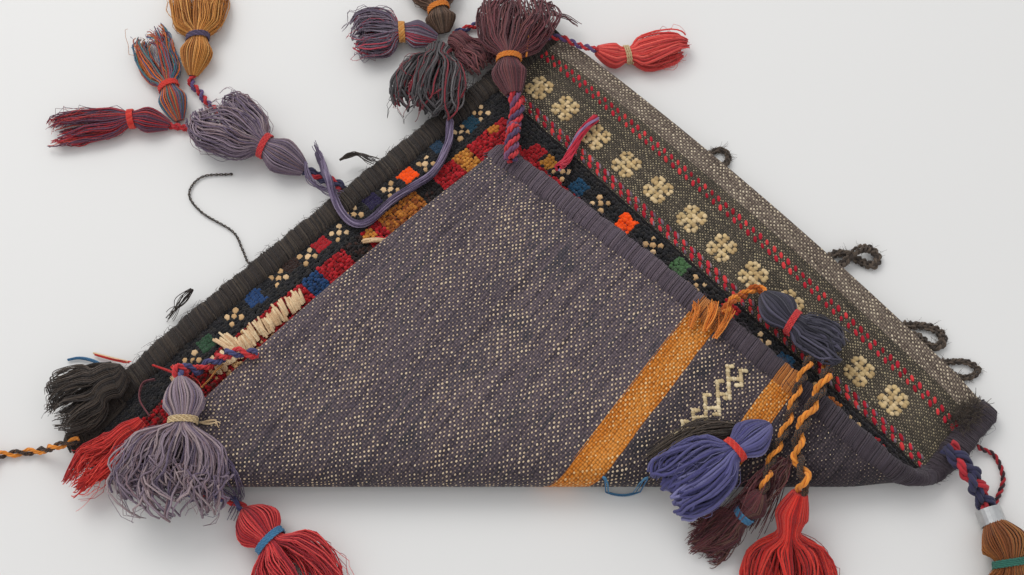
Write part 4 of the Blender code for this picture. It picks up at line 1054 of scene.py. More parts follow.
# %% Tassel yarn
TASSEL_YARN = {
    "left_grey": (PURPLE_MIX, {"strands": 150, "yarn": 0.00045, "looped": True, "wander": 0.006, "clumps": 4.0,
                               "clump_wander": 0.022}),
    "left_red": (RASPBERRY, {"strands": 130, "yarn": 0.00045, "wander": 0.005}),
    "left_mixed": (MIXED, {"strands": 120, "yarn": 0.0005}),
    "left_ochre": (OCHRE, {"strands": 190, "yarn": 0.00045}),
    "top_purple": (PLUM_AND_RED, {"strands": 100, "yarn": 0.00055, "looped": True}),
    "top_grey": (GREY_RED, {"strands": 100, "yarn": 0.0006, "looped": True}),
    "top_brown": (BROWN, {"strands": 150, "yarn": 0.00045}),
    "top_burgundy": (BURGUNDY, {"strands": 70, "yarn": 0.0005, "looped": True}),
    "apex_burgundy": (BURGUNDY, {"strands": 230, "yarn": 0.0005, "wander": 0.008, "clumps": 15.0,
                                 "clump_wander": 0.026}),
    "top_red": (LIGHT_RED, {"strands": 110, "yarn": 0.0008, "clumps": 2.0, "shortening": 0.4}),
    "low_grey": (PURPLE_MIX, {"strands": 120, "yarn": 0.0006, "looped": True, "wander": 0.0025, "clumps": 7.0,
                              "clump_wander": 0.034, "parting": 1.0, "shortening": 0.8}),
    "low_red": (CRIMSON, {"strands": 230, "yarn": 0.00045, "wander": 0.006, "clump_wander": 0.016}),
    "corner_red": (CRIMSON, {"strands": 70, "yarn": 0.0005}),
    "corner_dark": (GOAT, {"strands": 260, "yarn": 0.0003, "wander": 0.004, "clumps": 13.0, "clump_wander": 0.02,
                           "parting": 1.0}),
    "corner_crimson": (SCARLET, {"strands": 170, "yarn": 0.0004, "wander": 0.007, "clumps": 9.0,
                                 "clump_wander": 0.02, "parting": 0.9}),
    "right_purple": (NAVY, {"strands": 80, "yarn": 0.0008, "looped": True}),
    "right_lilac": (LILAC, {"strands": 74, "yarn": 0.0010, "looped": True, "wander": 0.002, "clumps": 9.0,
                            "parting": 0.6}),
    "right_burgundy": (DARK_BURGUNDY, {"strands": 210, "yarn": 0.00035, "wander": 0.007, "clump_wander": 0.02}),
    "right_red": (DEEP_RED, {"strands": 230, "yarn": 0.0006, "wander": 0.003, "clumps": 11.0,
                             "clump_wander": 0.016, "parting": 0.95}),
    "corner_ochre": (BROWN_OCHRE, {"strands": 210, "yarn": 0.0005}),
}
FRINGES = ("corner_dark", "corner_crimson")
tassels = {}
for index, (name, (material, how)) in enumerate(TASSEL_YARN.items(), start=1):
    node = name + ("_fringe" if name in FRINGES else "_tassel")
    piece = bunch(node + "_yarn", *bunches[name], material, seed=index, **how)
    tassels[name] = keep(piece, SLOTS[node], node)


# %% Loose fibres round the tassels
# Old yarn sheds: a few very fine strands stand further out than the rest.
for index, (name, (material, how)) in enumerate(TASSEL_YARN.items(), start=60):
    node = name + ("_fringe" if name in FRINGES else "_tassel")
    piece = bunch(node + "_fibres", *bunches[name], material, strands=34, yarn=0.00018,
                  looped=how.get("looped", False), wander=0.020, shortening=1.0, fill=0.12, seed=index)
    keep(piece, SLOTS[node])


# %% [markdown]
# ## Ties
# The yarn round a tassel's waist is wound three to five times. Each tie is one line of yarn: it goes round the
# waist's own oval, and a yarn's width along the tassel for each turn.

# %% Tie yarn
TIE_YARN = 0.00075
TIE_PROUD = 0.0009
TIE_TILT = 0.12
STEPS_IN_TURN = 16


def tie_turns(name, turns):
    """The path of a tie: turns round the waist of a bunch, a little slanted, from one side to the other."""
    centres, stations = bunches[name]
    middle = (centres[3] + centres[4]) / 2
    along_tassel = (centres[4] - centres[3]).normalized()
    sideways = along_tassel.cross(Vector((0, 0, 1))).normalized()
    upward = sideways.cross(along_tassel)
    half, high = stations[3][1] + TIE_PROUD, stations[3][2] + TIE_PROUD
    path = []
    for step in range(turns * STEPS_IN_TURN + 1):
        angle = 2 * math.pi * step / STEPS_IN_TURN
        forward = (step / (turns * STEPS_IN_TURN) - 0.5) * (TIE_WIDTH - 0.0012) + TIE_TILT * half * math.cos(angle)
        path.append(middle + along_tassel * forward + sideways * (half * math.cos(angle))
                    + upward * (high * math.sin(angle)))
    return path


TIES = {
    "left_grey": (CRIMSON, 5), "left_red": (SCARLET, 5), "left_mixed": (SCARLET, 5), "left_ochre": (PLUM, 5),
    "top_purple": (OCHRE, 5), "top_brown": (ORANGE, 5), "apex_burgundy": (ORANGE, 4), "top_red": (CREAM, 3),
    "low_grey": (CREAM, 4), "low_red": (BLUE, 5), "right_purple": (CRIMSON, 4), "right_lilac": (SCARLET, 4),
    "right_burgundy": (BLUE, 4), "corner_ochre": (TEAL, 5),
}
ties = {}
for name, (material, turns) in TIES.items():
    piece, _ = wind(name + "_tie_yarn", tie_turns(name, turns), TIE_YARN, material, yarns=1, lay=0.004, step=0.0012)
    ties[name] = keep(piece, SLOTS[name + "_tie"], name + "_tie")


# %% [markdown]
# ## The cloth
# Bags of this kind are woven in one length: a plain-weave back, a turn at the bottom, the knotted pile face,
# and a flat-woven band at the mouth. So the cloth is one mesh, a grid that goes round like that, with its
# thickness built in. Its UV map holds the bag's own axes in metres, so that the weave follows the threads.

# %% Warps and wefts
WARP_SPACING = 0.0019
WEFT_SHARE = 0.8
PILE_END = 0.139
STRIPE_SLANT = 0.12


def crossing_at(tree, flat, spacing):
    """The numbers of the warp and the weft at a place, together and apart, and the place within their crossing."""
    # Hand-woven threads wander by a fraction of their spacing, in waves of about 18 mm.
    sway = add(tree, "ShaderNodeTexNoise", {"Vector": flat, "Scale": 55.0, "Detail": 2.0})
    off_centre = add(tree, "ShaderNodeVectorMath", {0: sway.outputs["Color"], 1: (0.5, 0.5, 0.5)},
                     operation="SUBTRACT")
    small = add(tree, "ShaderNodeVectorMath", {0: off_centre, 1: (0.003, 0.003, 0.0)}, operation="MULTIPLY")
    wavy = add(tree, "ShaderNodeVectorMath", {0: flat, 1: small}, operation="ADD")
    per_metre = (1 / spacing, 1 / (WEFT_SHARE * spacing), 1.0)
    threads = add(tree, "ShaderNodeVectorMath", {0: wavy, 1: per_metre}, operation="MULTIPLY")
    counted = add(tree, "ShaderNodeVectorMath", {0: threads}, operation="FLOOR")
    within = add(tree, "ShaderNodeVectorMath", {0: threads}, operation="FRACTION")
    return counted, add(tree, "ShaderNodeSeparateXYZ", {0: counted}), within


# %% The warp shows as beads
def bead_at(tree, flat, crossing, dot_size, tight=None):
    """How much a bead of warp covers a place, how far its middle is, and a random number for each crossing."""
    counted, number, within = crossing
    both = add(tree, "ShaderNodeMath", {0: number.outputs["X"], 1: number.outputs["Y"]}, operation="ADD")
    parity = add(tree, "ShaderNodeMath", {0: both, 1: 2.0}, operation="FLOORED_MODULO")

    # Each bead is a little off the middle of its crossing.
    single = add(tree, "ShaderNodeTexWhiteNoise", {"Vector": counted}, noise_dimensions="3D")
    jitter = add(tree, "ShaderNodeVectorMath",
                 {0: single.outputs["Color"], 1: (0.32, 0.32, 0.0), 2: (0.34, 0.34, 0.0)}, operation="MULTIPLY_ADD")
    from_middle = add(tree, "ShaderNodeVectorMath", {0: within, 1: jitter}, operation="SUBTRACT")
    distance = add(tree, "ShaderNodeVectorMath", {0: from_middle}, operation="LENGTH").outputs["Value"]

    # A bead shows where the warp is on top. Tight wefts hide some of them, in streaks and patches.
    patch = add(tree, "ShaderNodeTexNoise", {"Vector": flat, "Scale": 26.0, "Detail": 3.0, "Roughness": 0.6})
    streak_place = add(tree, "ShaderNodeVectorMath", {0: flat, 1: (18.0, 260.0, 1.0)}, operation="MULTIPLY")
    streak = add(tree, "ShaderNodeTexNoise", {"Vector": streak_place, "Scale": 1.0, "Detail": 2.0})
    density = add(tree, "ShaderNodeMath", {0: patch, 1: streak}, operation="ADD")
    varied = add(tree, "ShaderNodeMath", {0: single, 1: 0.4, 2: density}, operation="MULTIPLY_ADD")
    if tight is not None:
        varied = add(tree, "ShaderNodeMath", {0: varied, 1: tight}, operation="SUBTRACT")
    size = add(tree, "ShaderNodeMapRange", {"Value": varied, 1: 0.8, 2: 1.6, 3: dot_size - 0.24, 4: dot_size + 0.12})
    size_out = add(tree, "ShaderNodeMath", {0: size, 1: 0.10}, operation="ADD")
    inside = add(tree, "ShaderNodeMapRange", {"Value": distance, 1: size, 2: size_out, 3: 1.0, 4: 0.0})
    on_top = add(tree, "ShaderNodeMath", {0: 1.0, 1: parity}, operation="SUBTRACT")
    return add(tree, "ShaderNodeMath", {0: inside, 1: on_top}, operation="MULTIPLY"), distance, single


# %% Stripes across the back
def stripe_at(tree, stripes, up_cloth, weft_pick):
    """Whether a place is in a stripe. Each weft ends its colour in another place, so the edge is ragged."""
    ragged = add(tree, "ShaderNodeMath", {0: weft_pick, 1: 0.0016}, operation="MULTIPLY")
    lane = add(tree, "ShaderNodeMath", {0: up_cloth, 1: ragged}, operation="ADD")
    striped = 0.0
    for middle, half_width in stripes:
        away = add(tree, "ShaderNodeMath", {0: lane, 1: middle}, operation="SUBTRACT")
        size_of = add(tree, "ShaderNodeMath", {0: away}, operation="ABSOLUTE")
        near = add(tree, "ShaderNodeMath", {0: size_of, 1: half_width}, operation="LESS_THAN")
        striped = add(tree, "ShaderNodeMath", {0: striped, 1: near}, operation="MAXIMUM")
    return striped


def darker_beside(tree, striped, up_cloth, tone):
    """Beside the stripes the wefts are darker at the bag's bottom and between the stripes. At the fold they are
    darker by painted shade, where the cloth curves away from the light.
    """
    from_fold = add(tree, "ShaderNodeSeparateXYZ", {0: add(tree, "ShaderNodeTexCoord").outputs["Object"]})
    # The darkening at the fold is painted shade: there the cloth curves away from the light.
    at_bottom, between, painted_fold_shade = [
        add(tree, "ShaderNodeMapRange", {"Value": place, 1: start, 2: end, 3: first, 4: last})
        for place, start, end, first, last in (
            (up_cloth, 0.046, 0.062, 1.0, 0.6), (up_cloth, -0.016, -0.004, 1.0, 0.68),
            (from_fold.outputs["Y"], FOLD_EDGE_Y, FOLD_EDGE_Y + 0.045, 0.68, 1.0))]
    least = add(tree, "ShaderNodeMath", {0: at_bottom, 1: between}, operation="MINIMUM")
    tones_and_fold_shade = add(tree, "ShaderNodeMath", {0: least, 1: painted_fold_shade}, operation="MULTIPLY")
    striped_tone = add(tree, "ShaderNodeMix", {0: striped, 2: tones_and_fold_shade, 3: 1.0})
    return add(tree, "ShaderNodeMath", {0: tone, 1: striped_tone}, operation="MULTIPLY")


# %% A weave material
def woven(name, wefts, warps, dot_size, spacing=WARP_SPACING, stripes=(), stripe_wefts=None, stripe_warps=None):
    """Plain weave. Every other crossing shows the warp as a small pale bead between dark wefts."""
    made, tree, shader = new_material(name, {"Roughness": 0.95, "Specular IOR Level": 0.15, "Sheen Weight": 0.1})
    flat = add(tree, "ShaderNodeUVMap", uv_map="threads")
    up_cloth = add(tree, "ShaderNodeSeparateXYZ", {0: flat}).outputs["Y"]
    crossing = crossing_at(tree, flat, spacing)
    tight = None
    if stripes:
        tight = add(tree, "ShaderNodeMapRange", {"Value": up_cloth, 1: 0.050, 2: 0.075, 3: 0.0, 4: 0.38})
    bead, distance, single = bead_at(tree, flat, crossing, dot_size, tight)

    # Each weft is its own length of dyed yarn, and wool takes dye in patches.
    weft_shift = add(tree, "ShaderNodeMath", {0: crossing[1].outputs["Y"], 1: 0.37}, operation="ADD")
    weft_pick = add(tree, "ShaderNodeTexWhiteNoise", {"W": weft_shift}, noise_dimensions="1D")
    cloud = add(tree, "ShaderNodeTexNoise", {"Vector": flat, "Scale": 38.0, "Detail": 4.0, "Roughness": 0.65})
    weft_mix = add(tree, "ShaderNodeMath", {0: weft_pick, 1: 0.45, 2: cloud}, operation="MULTIPLY_ADD")
    threads_in = []
    for pick, shades, low in ((weft_mix, wefts, 0.35), (single, warps, 0.0), (weft_mix, stripe_wefts, 0.35),
                              (single, stripe_warps, 0.0)):
        if shades:
            ramp = add(tree, "ShaderNodeValToRGB", {"Fac": pick})
            last = len(shades) - 1
            fill_ramp(ramp, shades, [low + (1.0 - low) * index / last for index in range(last + 1)])
            threads_in.append(ramp)
    base, dots = threads_in[:2]

    # A bead is round: painted shade darkens the threads where they go down beside it, and its crown is painted a
    # little lighter, as a highlight.
    rise = add(tree, "ShaderNodeMath", {0: distance, 1: distance}, operation="MULTIPLY")
    crown = add(tree, "ShaderNodeMath", {0: rise, 1: -2.2, 2: 1.0}, operation="MULTIPLY_ADD")
    tone = add(tree, "ShaderNodeMapRange", {"Value": crown, 1: 0.0, 2: 0.9, 3: 0.45, 4: 1.12})
    if stripes:
        striped = stripe_at(tree, stripes, up_cloth, weft_pick)
        base, dots = [
            add(tree, "ShaderNodeMix", {0: striped, 6: plain, 7: orange}, data_type="RGBA").outputs[2]
            for plain, orange in zip(threads_in[:2], threads_in[2:])]
        tone = darker_beside(tree, striped, up_cloth, tone)
    shaded = add(tree, "ShaderNodeHueSaturation", {"Color": base, "Value": tone})
    colour = add(tree, "ShaderNodeMix", {0: bead, 6: shaded, 7: dots}, data_type="RGBA")
    fibre = add(tree, "ShaderNodeTexNoise", {"Vector": flat, "Scale": 2200.0, "Detail": 3.0})
    rough = add(tree, "ShaderNodeMath", {0: fibre, 1: 0.5, 2: crown}, operation="MULTIPLY_ADD")
    relief = add(tree, "ShaderNodeMath", {0: bead, 1: 0.4, 2: rough}, operation="MULTIPLY_ADD")
    link_surface(tree, shader, colour.outputs[2], relief, 0.9, 0.0005)
    return made


# %% The bag's four weaves
# Warps of undyed wool under purple-brown wefts give the back its pale dots, and dyed wefts its two stripes.
BACK_WEAVE = woven("plain_weave_back", ("453c41", "534950", "685b60", "49444a"), ("8c7868", "c8ae90", "dcc6a6"), 0.26,
                   stripes=((-0.016, 0.0092), (0.043, 0.0066)),
                   stripe_wefts=("b4621c", "c87628", "d88a3c"), stripe_warps=("d8964c", "e8b070", "f0c890"))
# Between the knots only dark shade shows.
PILE_GROUND = woven("pile_foundation", ("1b191b", "242122", "2c2828"), ("242122", "342e2c", "40362f"), 0.2)
# The band is finer and browner, and the hem beyond its outer row is paler.
BAND_WEAVE = woven("flat_woven_band", ("39342d", "4a4339", "5a5146"), ("6a5f4e", "96866e", "b8a886"), 0.31, 0.0013)
EDGE_WEAVE = woven("flat_woven_edge", ("54483f", "6c5e54", "7e7064"), ("8a7868", "b8a890", "dccbb0"), 0.36, 0.0016)
print("weave: a warp every", WARP_SPACING * 1000, "mm")


# %% The cloth's surface
CLOTH_STEP = 0.003
EDGE_START = 0.184


def pucker(across, up):
    """Slow hollows and rises of a soft cloth, within half a millimetre."""
    wave = 0.5 * np.sin(across * 71 + up * 33 + 1.0) + 0.35 * np.sin(up * 112 - across * 47 + 0.4)
    wave = wave + 0.25 * np.sin(across * 190 + 0.7) * np.sin(up * 170 + 0.3)
    return 0.0004 * (wave - 0.4)


def ground_top(across, up):
    """Height of the face cloth without its pile."""
    _, _, face_bottom, face_top = layer_heights(across, False)
    _, _, _, band_top = layer_heights(across, True)
    pile_ground = np.minimum(face_bottom + FACE_THICKNESS - PILE_HEIGHT, face_top - 0.0006)
    in_band = smooth_steps((up - PILE_END) / 0.003)
    return pile_ground + (band_top - pile_ground) * in_band


def threads_at(across, up):
    """Where a point lies along the warp, with the slant that the drape gives the wefts."""
    return up + STRIPE_SLANT * np.clip(across - 0.057, -0.10, 0.14)


# %% The cloth as one mesh
def turn_faces_out(mesh):
    """Recalculate the normals of a closed mesh, so that all of them point outwards, and shade it smooth."""
    tool = bmesh.new()
    tool.from_mesh(mesh)
    bmesh.ops.recalc_face_normals(tool, faces=tool.faces[:])
    tool.to_mesh(mesh)
    tool.free()
    mesh.shade_smooth()


def strip(first, second):
    """Quads between two lines of vertex numbers."""
    return np.column_stack([first[:-1], first[1:], second[1:], second[:-1]]).tolist()


def cloth_rows(columns):
    """Rows of (up, height) outside and inside the cloth, from the back's mouth round the bottom to the face's."""
    underside, back_top, face_bottom, face_top = layer_heights(columns, False)
    turn_radius = (face_top - underside) / 2
    straight = np.linspace(HALF_DEPTH, -HALF_DEPTH + turn_radius.max(), round(CLOTH_DEPTH / CLOTH_STEP))
    outer, inner, kinds = [], [], []
    for up in straight:
        row = np.full_like(columns, up)
        _, y = plan_place(*outline(columns, row))
        raised = smooth_steps((FOLD_START_Y - y - FOLD_RADIUS * math.pi) / 0.02)
        outer.append((row, underside - pucker(columns, row) * raised * edge_ease(columns)))
        inner.append((row, back_top))
        kinds.append("back")
    start = -HALF_DEPTH + turn_radius
    for angle in np.linspace(0.0, math.pi, 13)[1:-1]:
        thick = BACK_THICKNESS + (face_top - face_bottom - BACK_THICKNESS) * angle / math.pi
        inside = np.maximum(turn_radius - thick, 0.0001)
        middle = underside + turn_radius
        outer.append((start - turn_radius * math.sin(angle), middle - turn_radius * math.cos(angle)))
        inner.append((start - inside * math.sin(angle), middle - inside * math.cos(angle)))
        kinds.append("back")
    for up in straight[::-1]:
        row = np.full_like(columns, up)
        from_turn = smooth_steps((up + HALF_DEPTH - 0.006) / 0.008)
        height = face_top + (ground_top(columns, row) - face_top) * from_turn
        outer.append((row, height))
        inner.append((row, face_bottom))
        kinds.append("pile" if up < PILE_END else "band" if up < EDGE_START else "edge")
    return outer, inner, kinds


def make_cloth():
    """The cloth as one closed grid, with a weave of its own for each kind of row."""
    columns = np.linspace(-HALF_WIDTH, HALF_WIDTH, round(CLOTH_WIDTH / CLOTH_STEP) + 1)
    outer, inner, kinds = cloth_rows(columns)
    points, uvs = [], []
    for sheet_rows in (outer, inner):
        for up, height in sheet_rows:
            points.append(laid(columns, up, height))
            uvs.append(np.column_stack([columns, threads_at(columns, up)]))
    count, rows = len(columns), len(outer)
    outside, within = np.arange(2 * rows * count).reshape(2, rows, count)
    slot_of_kind = {"back": 0, "pile": 1, "band": 2, "edge": 3}
    strips = [(strip(outside[row], outside[row + 1]), slot_of_kind[kinds[row]]) for row in range(rows - 1)]
    strips += [(strip(within[row], within[row + 1]), 0) for row in range(rows - 1)]
    strips += [(strip(outside[row], within[row]), slot) for row, slot in ((0, 0), (rows - 1, 3))]
    strips += [(strip(outside[:, column], within[:, column]), 0) for column in (0, count - 1)]
    quads = [quad for new_quads, _ in strips for quad in new_quads]
    slots = [slot for new_quads, slot in strips for _ in new_quads]
    mesh = bpy.data.meshes.new("woven_cloth_dressed")
    mesh.from_pydata(np.vstack(points).tolist(), [], quads)
    mesh.polygons.foreach_set("material_index", slots)
    flat = np.vstack(uvs)
    uv_map = mesh.uv_layers.new(name="threads")
    corners = np.empty(len(mesh.loops), np.int32)
    mesh.loops.foreach_get("vertex_index", corners)
    uv_map.data.foreach_set("uv", flat[corners].astype(np.float32).ravel())
    turn_faces_out(mesh)
    mesh.set_sharp_from_angle(angle=math.radians(55))
    for made in (BACK_WEAVE, PILE_GROUND, BAND_WEAVE, EDGE_WEAVE):
        mesh.materials.append(made)
    return new_object("woven_cloth_dressed", mesh)


cloth = keep(make_cloth(), SLOTS["woven_cloth"], "woven_cloth")


# %% [markdown]
# ## Knots and stitches
# A knotted pile is thousands of small tufts, one for each knot, in the colour that the pattern asks for. The
# same tree also sets the stitches of the band's rosettes and rows: it copies a stamp onto each point, turned
# to the cloth and a little at random, and the point's own colour goes with it.

# %% Tree: stamps on cloth
stamp_tree, given = new_tree("stamps_on_cloth", {"Turn": 6.28, "Tilt": 0.15, "Size Spread": 0.12, "Seed": 3})
tree = stamp_tree
points = add(tree, "GeometryNodeMeshToPoints", {"Mesh": given["Guide"]})
stamp = add(tree, "GeometryNodeObjectInfo", {"Object": given["Stamp"]})
facing, heading, scale = [
    add(tree, "GeometryNodeInputNamedAttribute", {"Name": name}, data_type="FLOAT_VECTOR")
    for name in ("facing", "heading", "scale")]
square = add(tree, "FunctionNodeAxesToRotation", {0: facing, 1: heading}, primary_axis="Z", secondary_axis="X")
half_turn = add(tree, "ShaderNodeMath", {0: given["Turn"], 1: 0.5}, operation="MULTIPLY")
other_half = add(tree, "ShaderNodeMath", {0: given["Turn"], 1: -0.5}, operation="MULTIPLY")
spin = add(tree, "FunctionNodeRandomValue", {2: other_half, 3: half_turn, 8: given["Seed"]}, data_type="FLOAT")
less = add(tree, "ShaderNodeMath", {0: given["Tilt"], 1: -1.0}, operation="MULTIPLY")
lean_x = add(tree, "FunctionNodeRandomValue", {2: less, 3: given["Tilt"], 8: 11}, data_type="FLOAT")
lean_y = add(tree, "FunctionNodeRandomValue", {2: less, 3: given["Tilt"], 8: 12}, data_type="FLOAT")
angles = add(tree, "ShaderNodeCombineXYZ", {0: lean_x.outputs[1], 1: lean_y.outputs[1], 2: spin.outputs[1]})
loose = add(tree, "FunctionNodeEulerToRotation", {0: angles})
turned = add(tree, "FunctionNodeRotateRotation", {0: square, 1: loose}, rotation_space="LOCAL")
smallest = add(tree, "ShaderNodeMath", {0: 1.0, 1: given["Size Spread"]}, operation="SUBTRACT")
largest = add(tree, "ShaderNodeMath", {0: 1.0, 1: given["Size Spread"]}, operation="ADD")
grown = add(tree, "FunctionNodeRandomValue", {2: smallest, 3: largest, 8: 13}, data_type="FLOAT")
sized = add(tree, "ShaderNodeVectorMath", {0: scale, "Scale": grown.outputs[1]}, operation="SCALE")
set_down = add(tree, "GeometryNodeInstanceOnPoints",
               {"Points": points, "Instance": stamp.outputs["Geometry"], "Rotation": turned,
                "Scale": sized})
end_tree(tree, given, numbered(tree, set_down))


# %% Stamps
def ring_faces(rings, sides):
    """The quads between rings of points, each ring with as many points as sides."""
    return [(ring * sides + step, ring * sides + (step + 1) % sides, (ring + 1) * sides + (step + 1) % sides,
             (ring + 1) * sides + step) for ring in range(rings - 1) for step in range(sides)]


def lathe(name, rings, sides, top):
    """A small stamp: rings of (radius along X, radius along Y, height), closed by a point at the top."""
    mesh = bpy.data.meshes.new(name)
    points, tips = [], []
    for wide, deep, height in rings:
        for step in range(sides):
            angle = 2 * math.pi * step / sides
            points.append((wide * math.cos(angle), deep * math.sin(angle), height))
            tips.append(height)
    faces = ring_faces(len(rings), sides)
    peak = len(points)
    points.append((0.0, 0.0, top))
    tips.append(top)
    last = (len(rings) - 1) * sides
    faces += [(last + step, last + (step + 1) % sides, peak) for step in range(sides)]
    faces.append(tuple(reversed(range(sides))))
    mesh.from_pydata(points, [], faces)
    made = mesh.attributes.new("tip", "FLOAT", "POINT")
    made.data.foreach_set("value", [tip / top for tip in tips])
    stamp_object = new_object(name, mesh)
    stamp_object.hide_render = True
    return stamp_object


# A stamp is about 1 mm high, so the third number of a scale is nearly its height in millimetres.
tuft = lathe("tuft_stamp", ((0.00070, 0.00070, 0.0), (0.00105, 0.00105, 0.0006), (0.00080, 0.00080, 0.00093)), 6,
             top=0.0010)
stitch = lathe("stitch_stamp", ((0.00095, 0.00062, 0.0), (0.00085, 0.00055, 0.00055)), 8, top=0.00085)
print("faces in a tuft:", len(tuft.data.polygons))


# %% Wool for the pile and the stitches
def dyed(name, root, sheen):
    """Wool whose colour comes with each point, darker at the root, where the light doesn't reach."""
    made, tree, shader = new_material(name, {"Roughness": 0.95, "Specular IOR Level": 0.15, "Sheen Weight": sheen})
    yarn = add(tree, "ShaderNodeAttribute", attribute_name="yarn").outputs["Color"]
    strand = add(tree, "ShaderNodeAttribute", attribute_name="strand").outputs["Fac"]
    tip = add(tree, "ShaderNodeAttribute", attribute_name="tip").outputs["Fac"]
    tone = add(tree, "ShaderNodeTexWhiteNoise", {"W": strand}, noise_dimensions="1D")
    place = add(tree, "ShaderNodeTexCoord").outputs["Object"]
    grain = add(tree, "ShaderNodeTexNoise", {"Vector": place, "Scale": 1600.0, "Detail": 2.0})
    mixed = add(tree, "ShaderNodeMath", {0: tone, 1: grain}, operation="ADD")
    varied = add(tree, "ShaderNodeMapRange", {"Value": mixed, 1: 0.3, 2: 1.5, 3: 0.75, 4: 1.2})
    shade = add(tree, "ShaderNodeMapRange", {"Value": tip, 1: 0.1, 2: 0.8, 3: root, 4: 1.0})
    value = add(tree, "ShaderNodeMath", {0: varied, 1: shade}, operation="MULTIPLY")
    tint = add(tree, "ShaderNodeHueSaturation", {"Color": yarn, "Value": value})
    link_surface(tree, shader, tint.outputs["Color"], grain, 0.5, 0.0003)
    return made


# Cut ends scatter the light like velvet, and a stitch lies flat and shows a little less bloom.
CUT_PILE = dyed("cut_wool_pile", root=0.5, sheen=0.2)
STITCH_WOOL = dyed("stitched_wool", root=0.6, sheen=0.1)


def set_stamps(name, stamp, places, facings, headings, scales, colours, material, **values):
    """Stamps at the places. The vectors are one for all or one for each, and colours are sRGB hex, one for each."""
    facings, headings, scales = [np.broadcast_to(vectors, (len(places), 3))
                                 for vectors in (facings, headings, scales)]
    guide = guide_mesh(places, edges=[], facing=facings, heading=headings, scale=scales)
    shades = {code: linear(code) for code in set(colours)}
    made = guide.attributes.new("yarn", "FLOAT_COLOR", "POINT")
    made.data.foreach_set("color", np.array([shades[code] for code in colours], np.float32).ravel())
    return grow(name, guide, stamp_tree, {"Stamp": stamp, "Material": material, **values})


# %% [markdown]
# ## The pile's pattern
# The pile border has small crosses of five knots, and squares between them, on a nearly black ground, with a
# narrow red border inside. Only the part beside the folded-up corner shows, so the tufts stop 20 mm under it.

# %% Motifs of the border
GROUND = ("1f1e20", "262426", "1a1a1c", "2b2826")
CROSS = ("cfa878", "dcb98c", "c09a6c")
CROSSES = ((-163.5, 70.4), (-165.3, 42.3), (-168.1, 14.7), (-164.4, -0.2), (-165.3, -24.1), (-166.6, -45.8),
           (-165.2, -81.1), (-160.8, -115.5), (-167.1, 120.7), (-165.0, 101.6), (-67.6, 128.6), (-26.0, 131.6),
           (9.7, 131.3), (60.0, 131.5), (95.0, 131.0), (128.0, 130.5), (-100.0, 127.0))
# Each square is (across, up, half side, colour), in millimetres.
SQUARES = ((-164.7, 56.6, 5.4, "f5520f"), (-167.2, 29.2, 5.0, "2a2340"), (-166.1, -13.0, 4.6, "9c1c22"),
           (-168.4, -34.7, 4.8, "33241f"), (-166.1, -64.3, 5.2, "24406a"), (-162.3, -102.8, 5.0, "2f4a34"),
           (-165.3, 110.8, 4.6, "1f4050"), (-167.5, 84.0, 4.8, "263c50"), (-121.6, 124.5, 5.0, "9c1a20"),
           (-110.2, 125.5, 4.2, "a8702a"), (-84.8, 127.2, 5.4, "1f4560"), (-47.5, 130.2, 5.6, "f5520f"),
           (-4.7, 133.5, 5.2, "4a6a44"), (34.0, 133.0, 5.2, "9c1c22"), (78.0, 132.0, 5.2, "1f4560"),
           (112.0, 131.0, 5.0, "c8702a"), (146.0, 130.0, 5.0, "9c1c22"), (-150.0, 124.0, 4.4, "9c1c22"))
INNER_RED = ("a0161c", "8a1218", "b4222a")
# The inner border is cut into lengths of one colour each: (from, to, shades), in millimetres up the side.
INNER_LENGTHS = ((-200, -112, ("a0161c", "8a1218", "5a2a24")), (-112, -70, ("a0161c", "7a1a1c", "c8a070")),
                 (-70, -38, INNER_RED), (-38, -26, ("1f3f66", "24406a", "1a3150")), (-26, -6, INNER_RED),
                 (-6, 8, ("2a201e", "1f1c1c", "3a2620")), (8, 22, INNER_RED),
                 (22, 52, ("a86428", "8a4a22", "b8742e")), (52, 66, ("26201e", "1f1c1c", "3a2620")),
                 (66, 84, INNER_RED), (84, 96, ("b8782e", "c8883a", "a86428")), (96, 121, INNER_RED))
INNER_SPOTS = ((-148.8, -52.0, "8a1218"), (-152.2, 118.1, "b8702a"), (-149.0, 12.0, "d08a3c"),
               (-76.5, 115.2, "c07a2a"), (-40.0, 117.0, "1f3a5c"), (-20.0, 117.0, "c07a2a"))
# Inside the red border lies the field, of which only an edge shows, in dark shades.
FIELD = ("2a1a1e", "3a1418", "1c181c")
INNER_LEFT, INNER_TOP = -0.1535, 0.121
FIELD_LEFT, FIELD_TOP = -0.136, 0.112
PILE_PITCH = 0.0020
KNOT_JITTER = 0.0004
STITCH_JITTER = 0.0002
CROSS_STEP = 3.3
# How much wider than its stamp a tuft is made.
KNOT_SIZE, SQUARE_KNOT_SIZE, CROSS_KNOT_SIZE = 1.4, 1.5, 2.05
rng = np.random.default_rng(41)


# %% Placing the knots
def shows(across, up, margin):
    """Whether points of the face lie clear of the folded-up corner, or no more than the margin under it."""
    x, y = plan_place(*outline(np.asarray(across), np.asarray(up)))
    back_y = FOLD_START_Y - FOLD_RADIUS * math.pi - (y - FOLD_START_Y)
    over_across = (x - CENTRE.x) * ACROSS.x + (back_y - CENTRE.y) * ACROSS.y
    over_up = (x - CENTRE.x) * TO_MOUTH.x + (back_y - CENTRE.y) * TO_MOUTH.y
    inside = np.minimum(HALF_WIDTH + 0.006 + RIGHT_BOW * 0.6 - over_across, over_up + HALF_DEPTH)
    return (y > FOLD_START_Y) & (inside < margin)


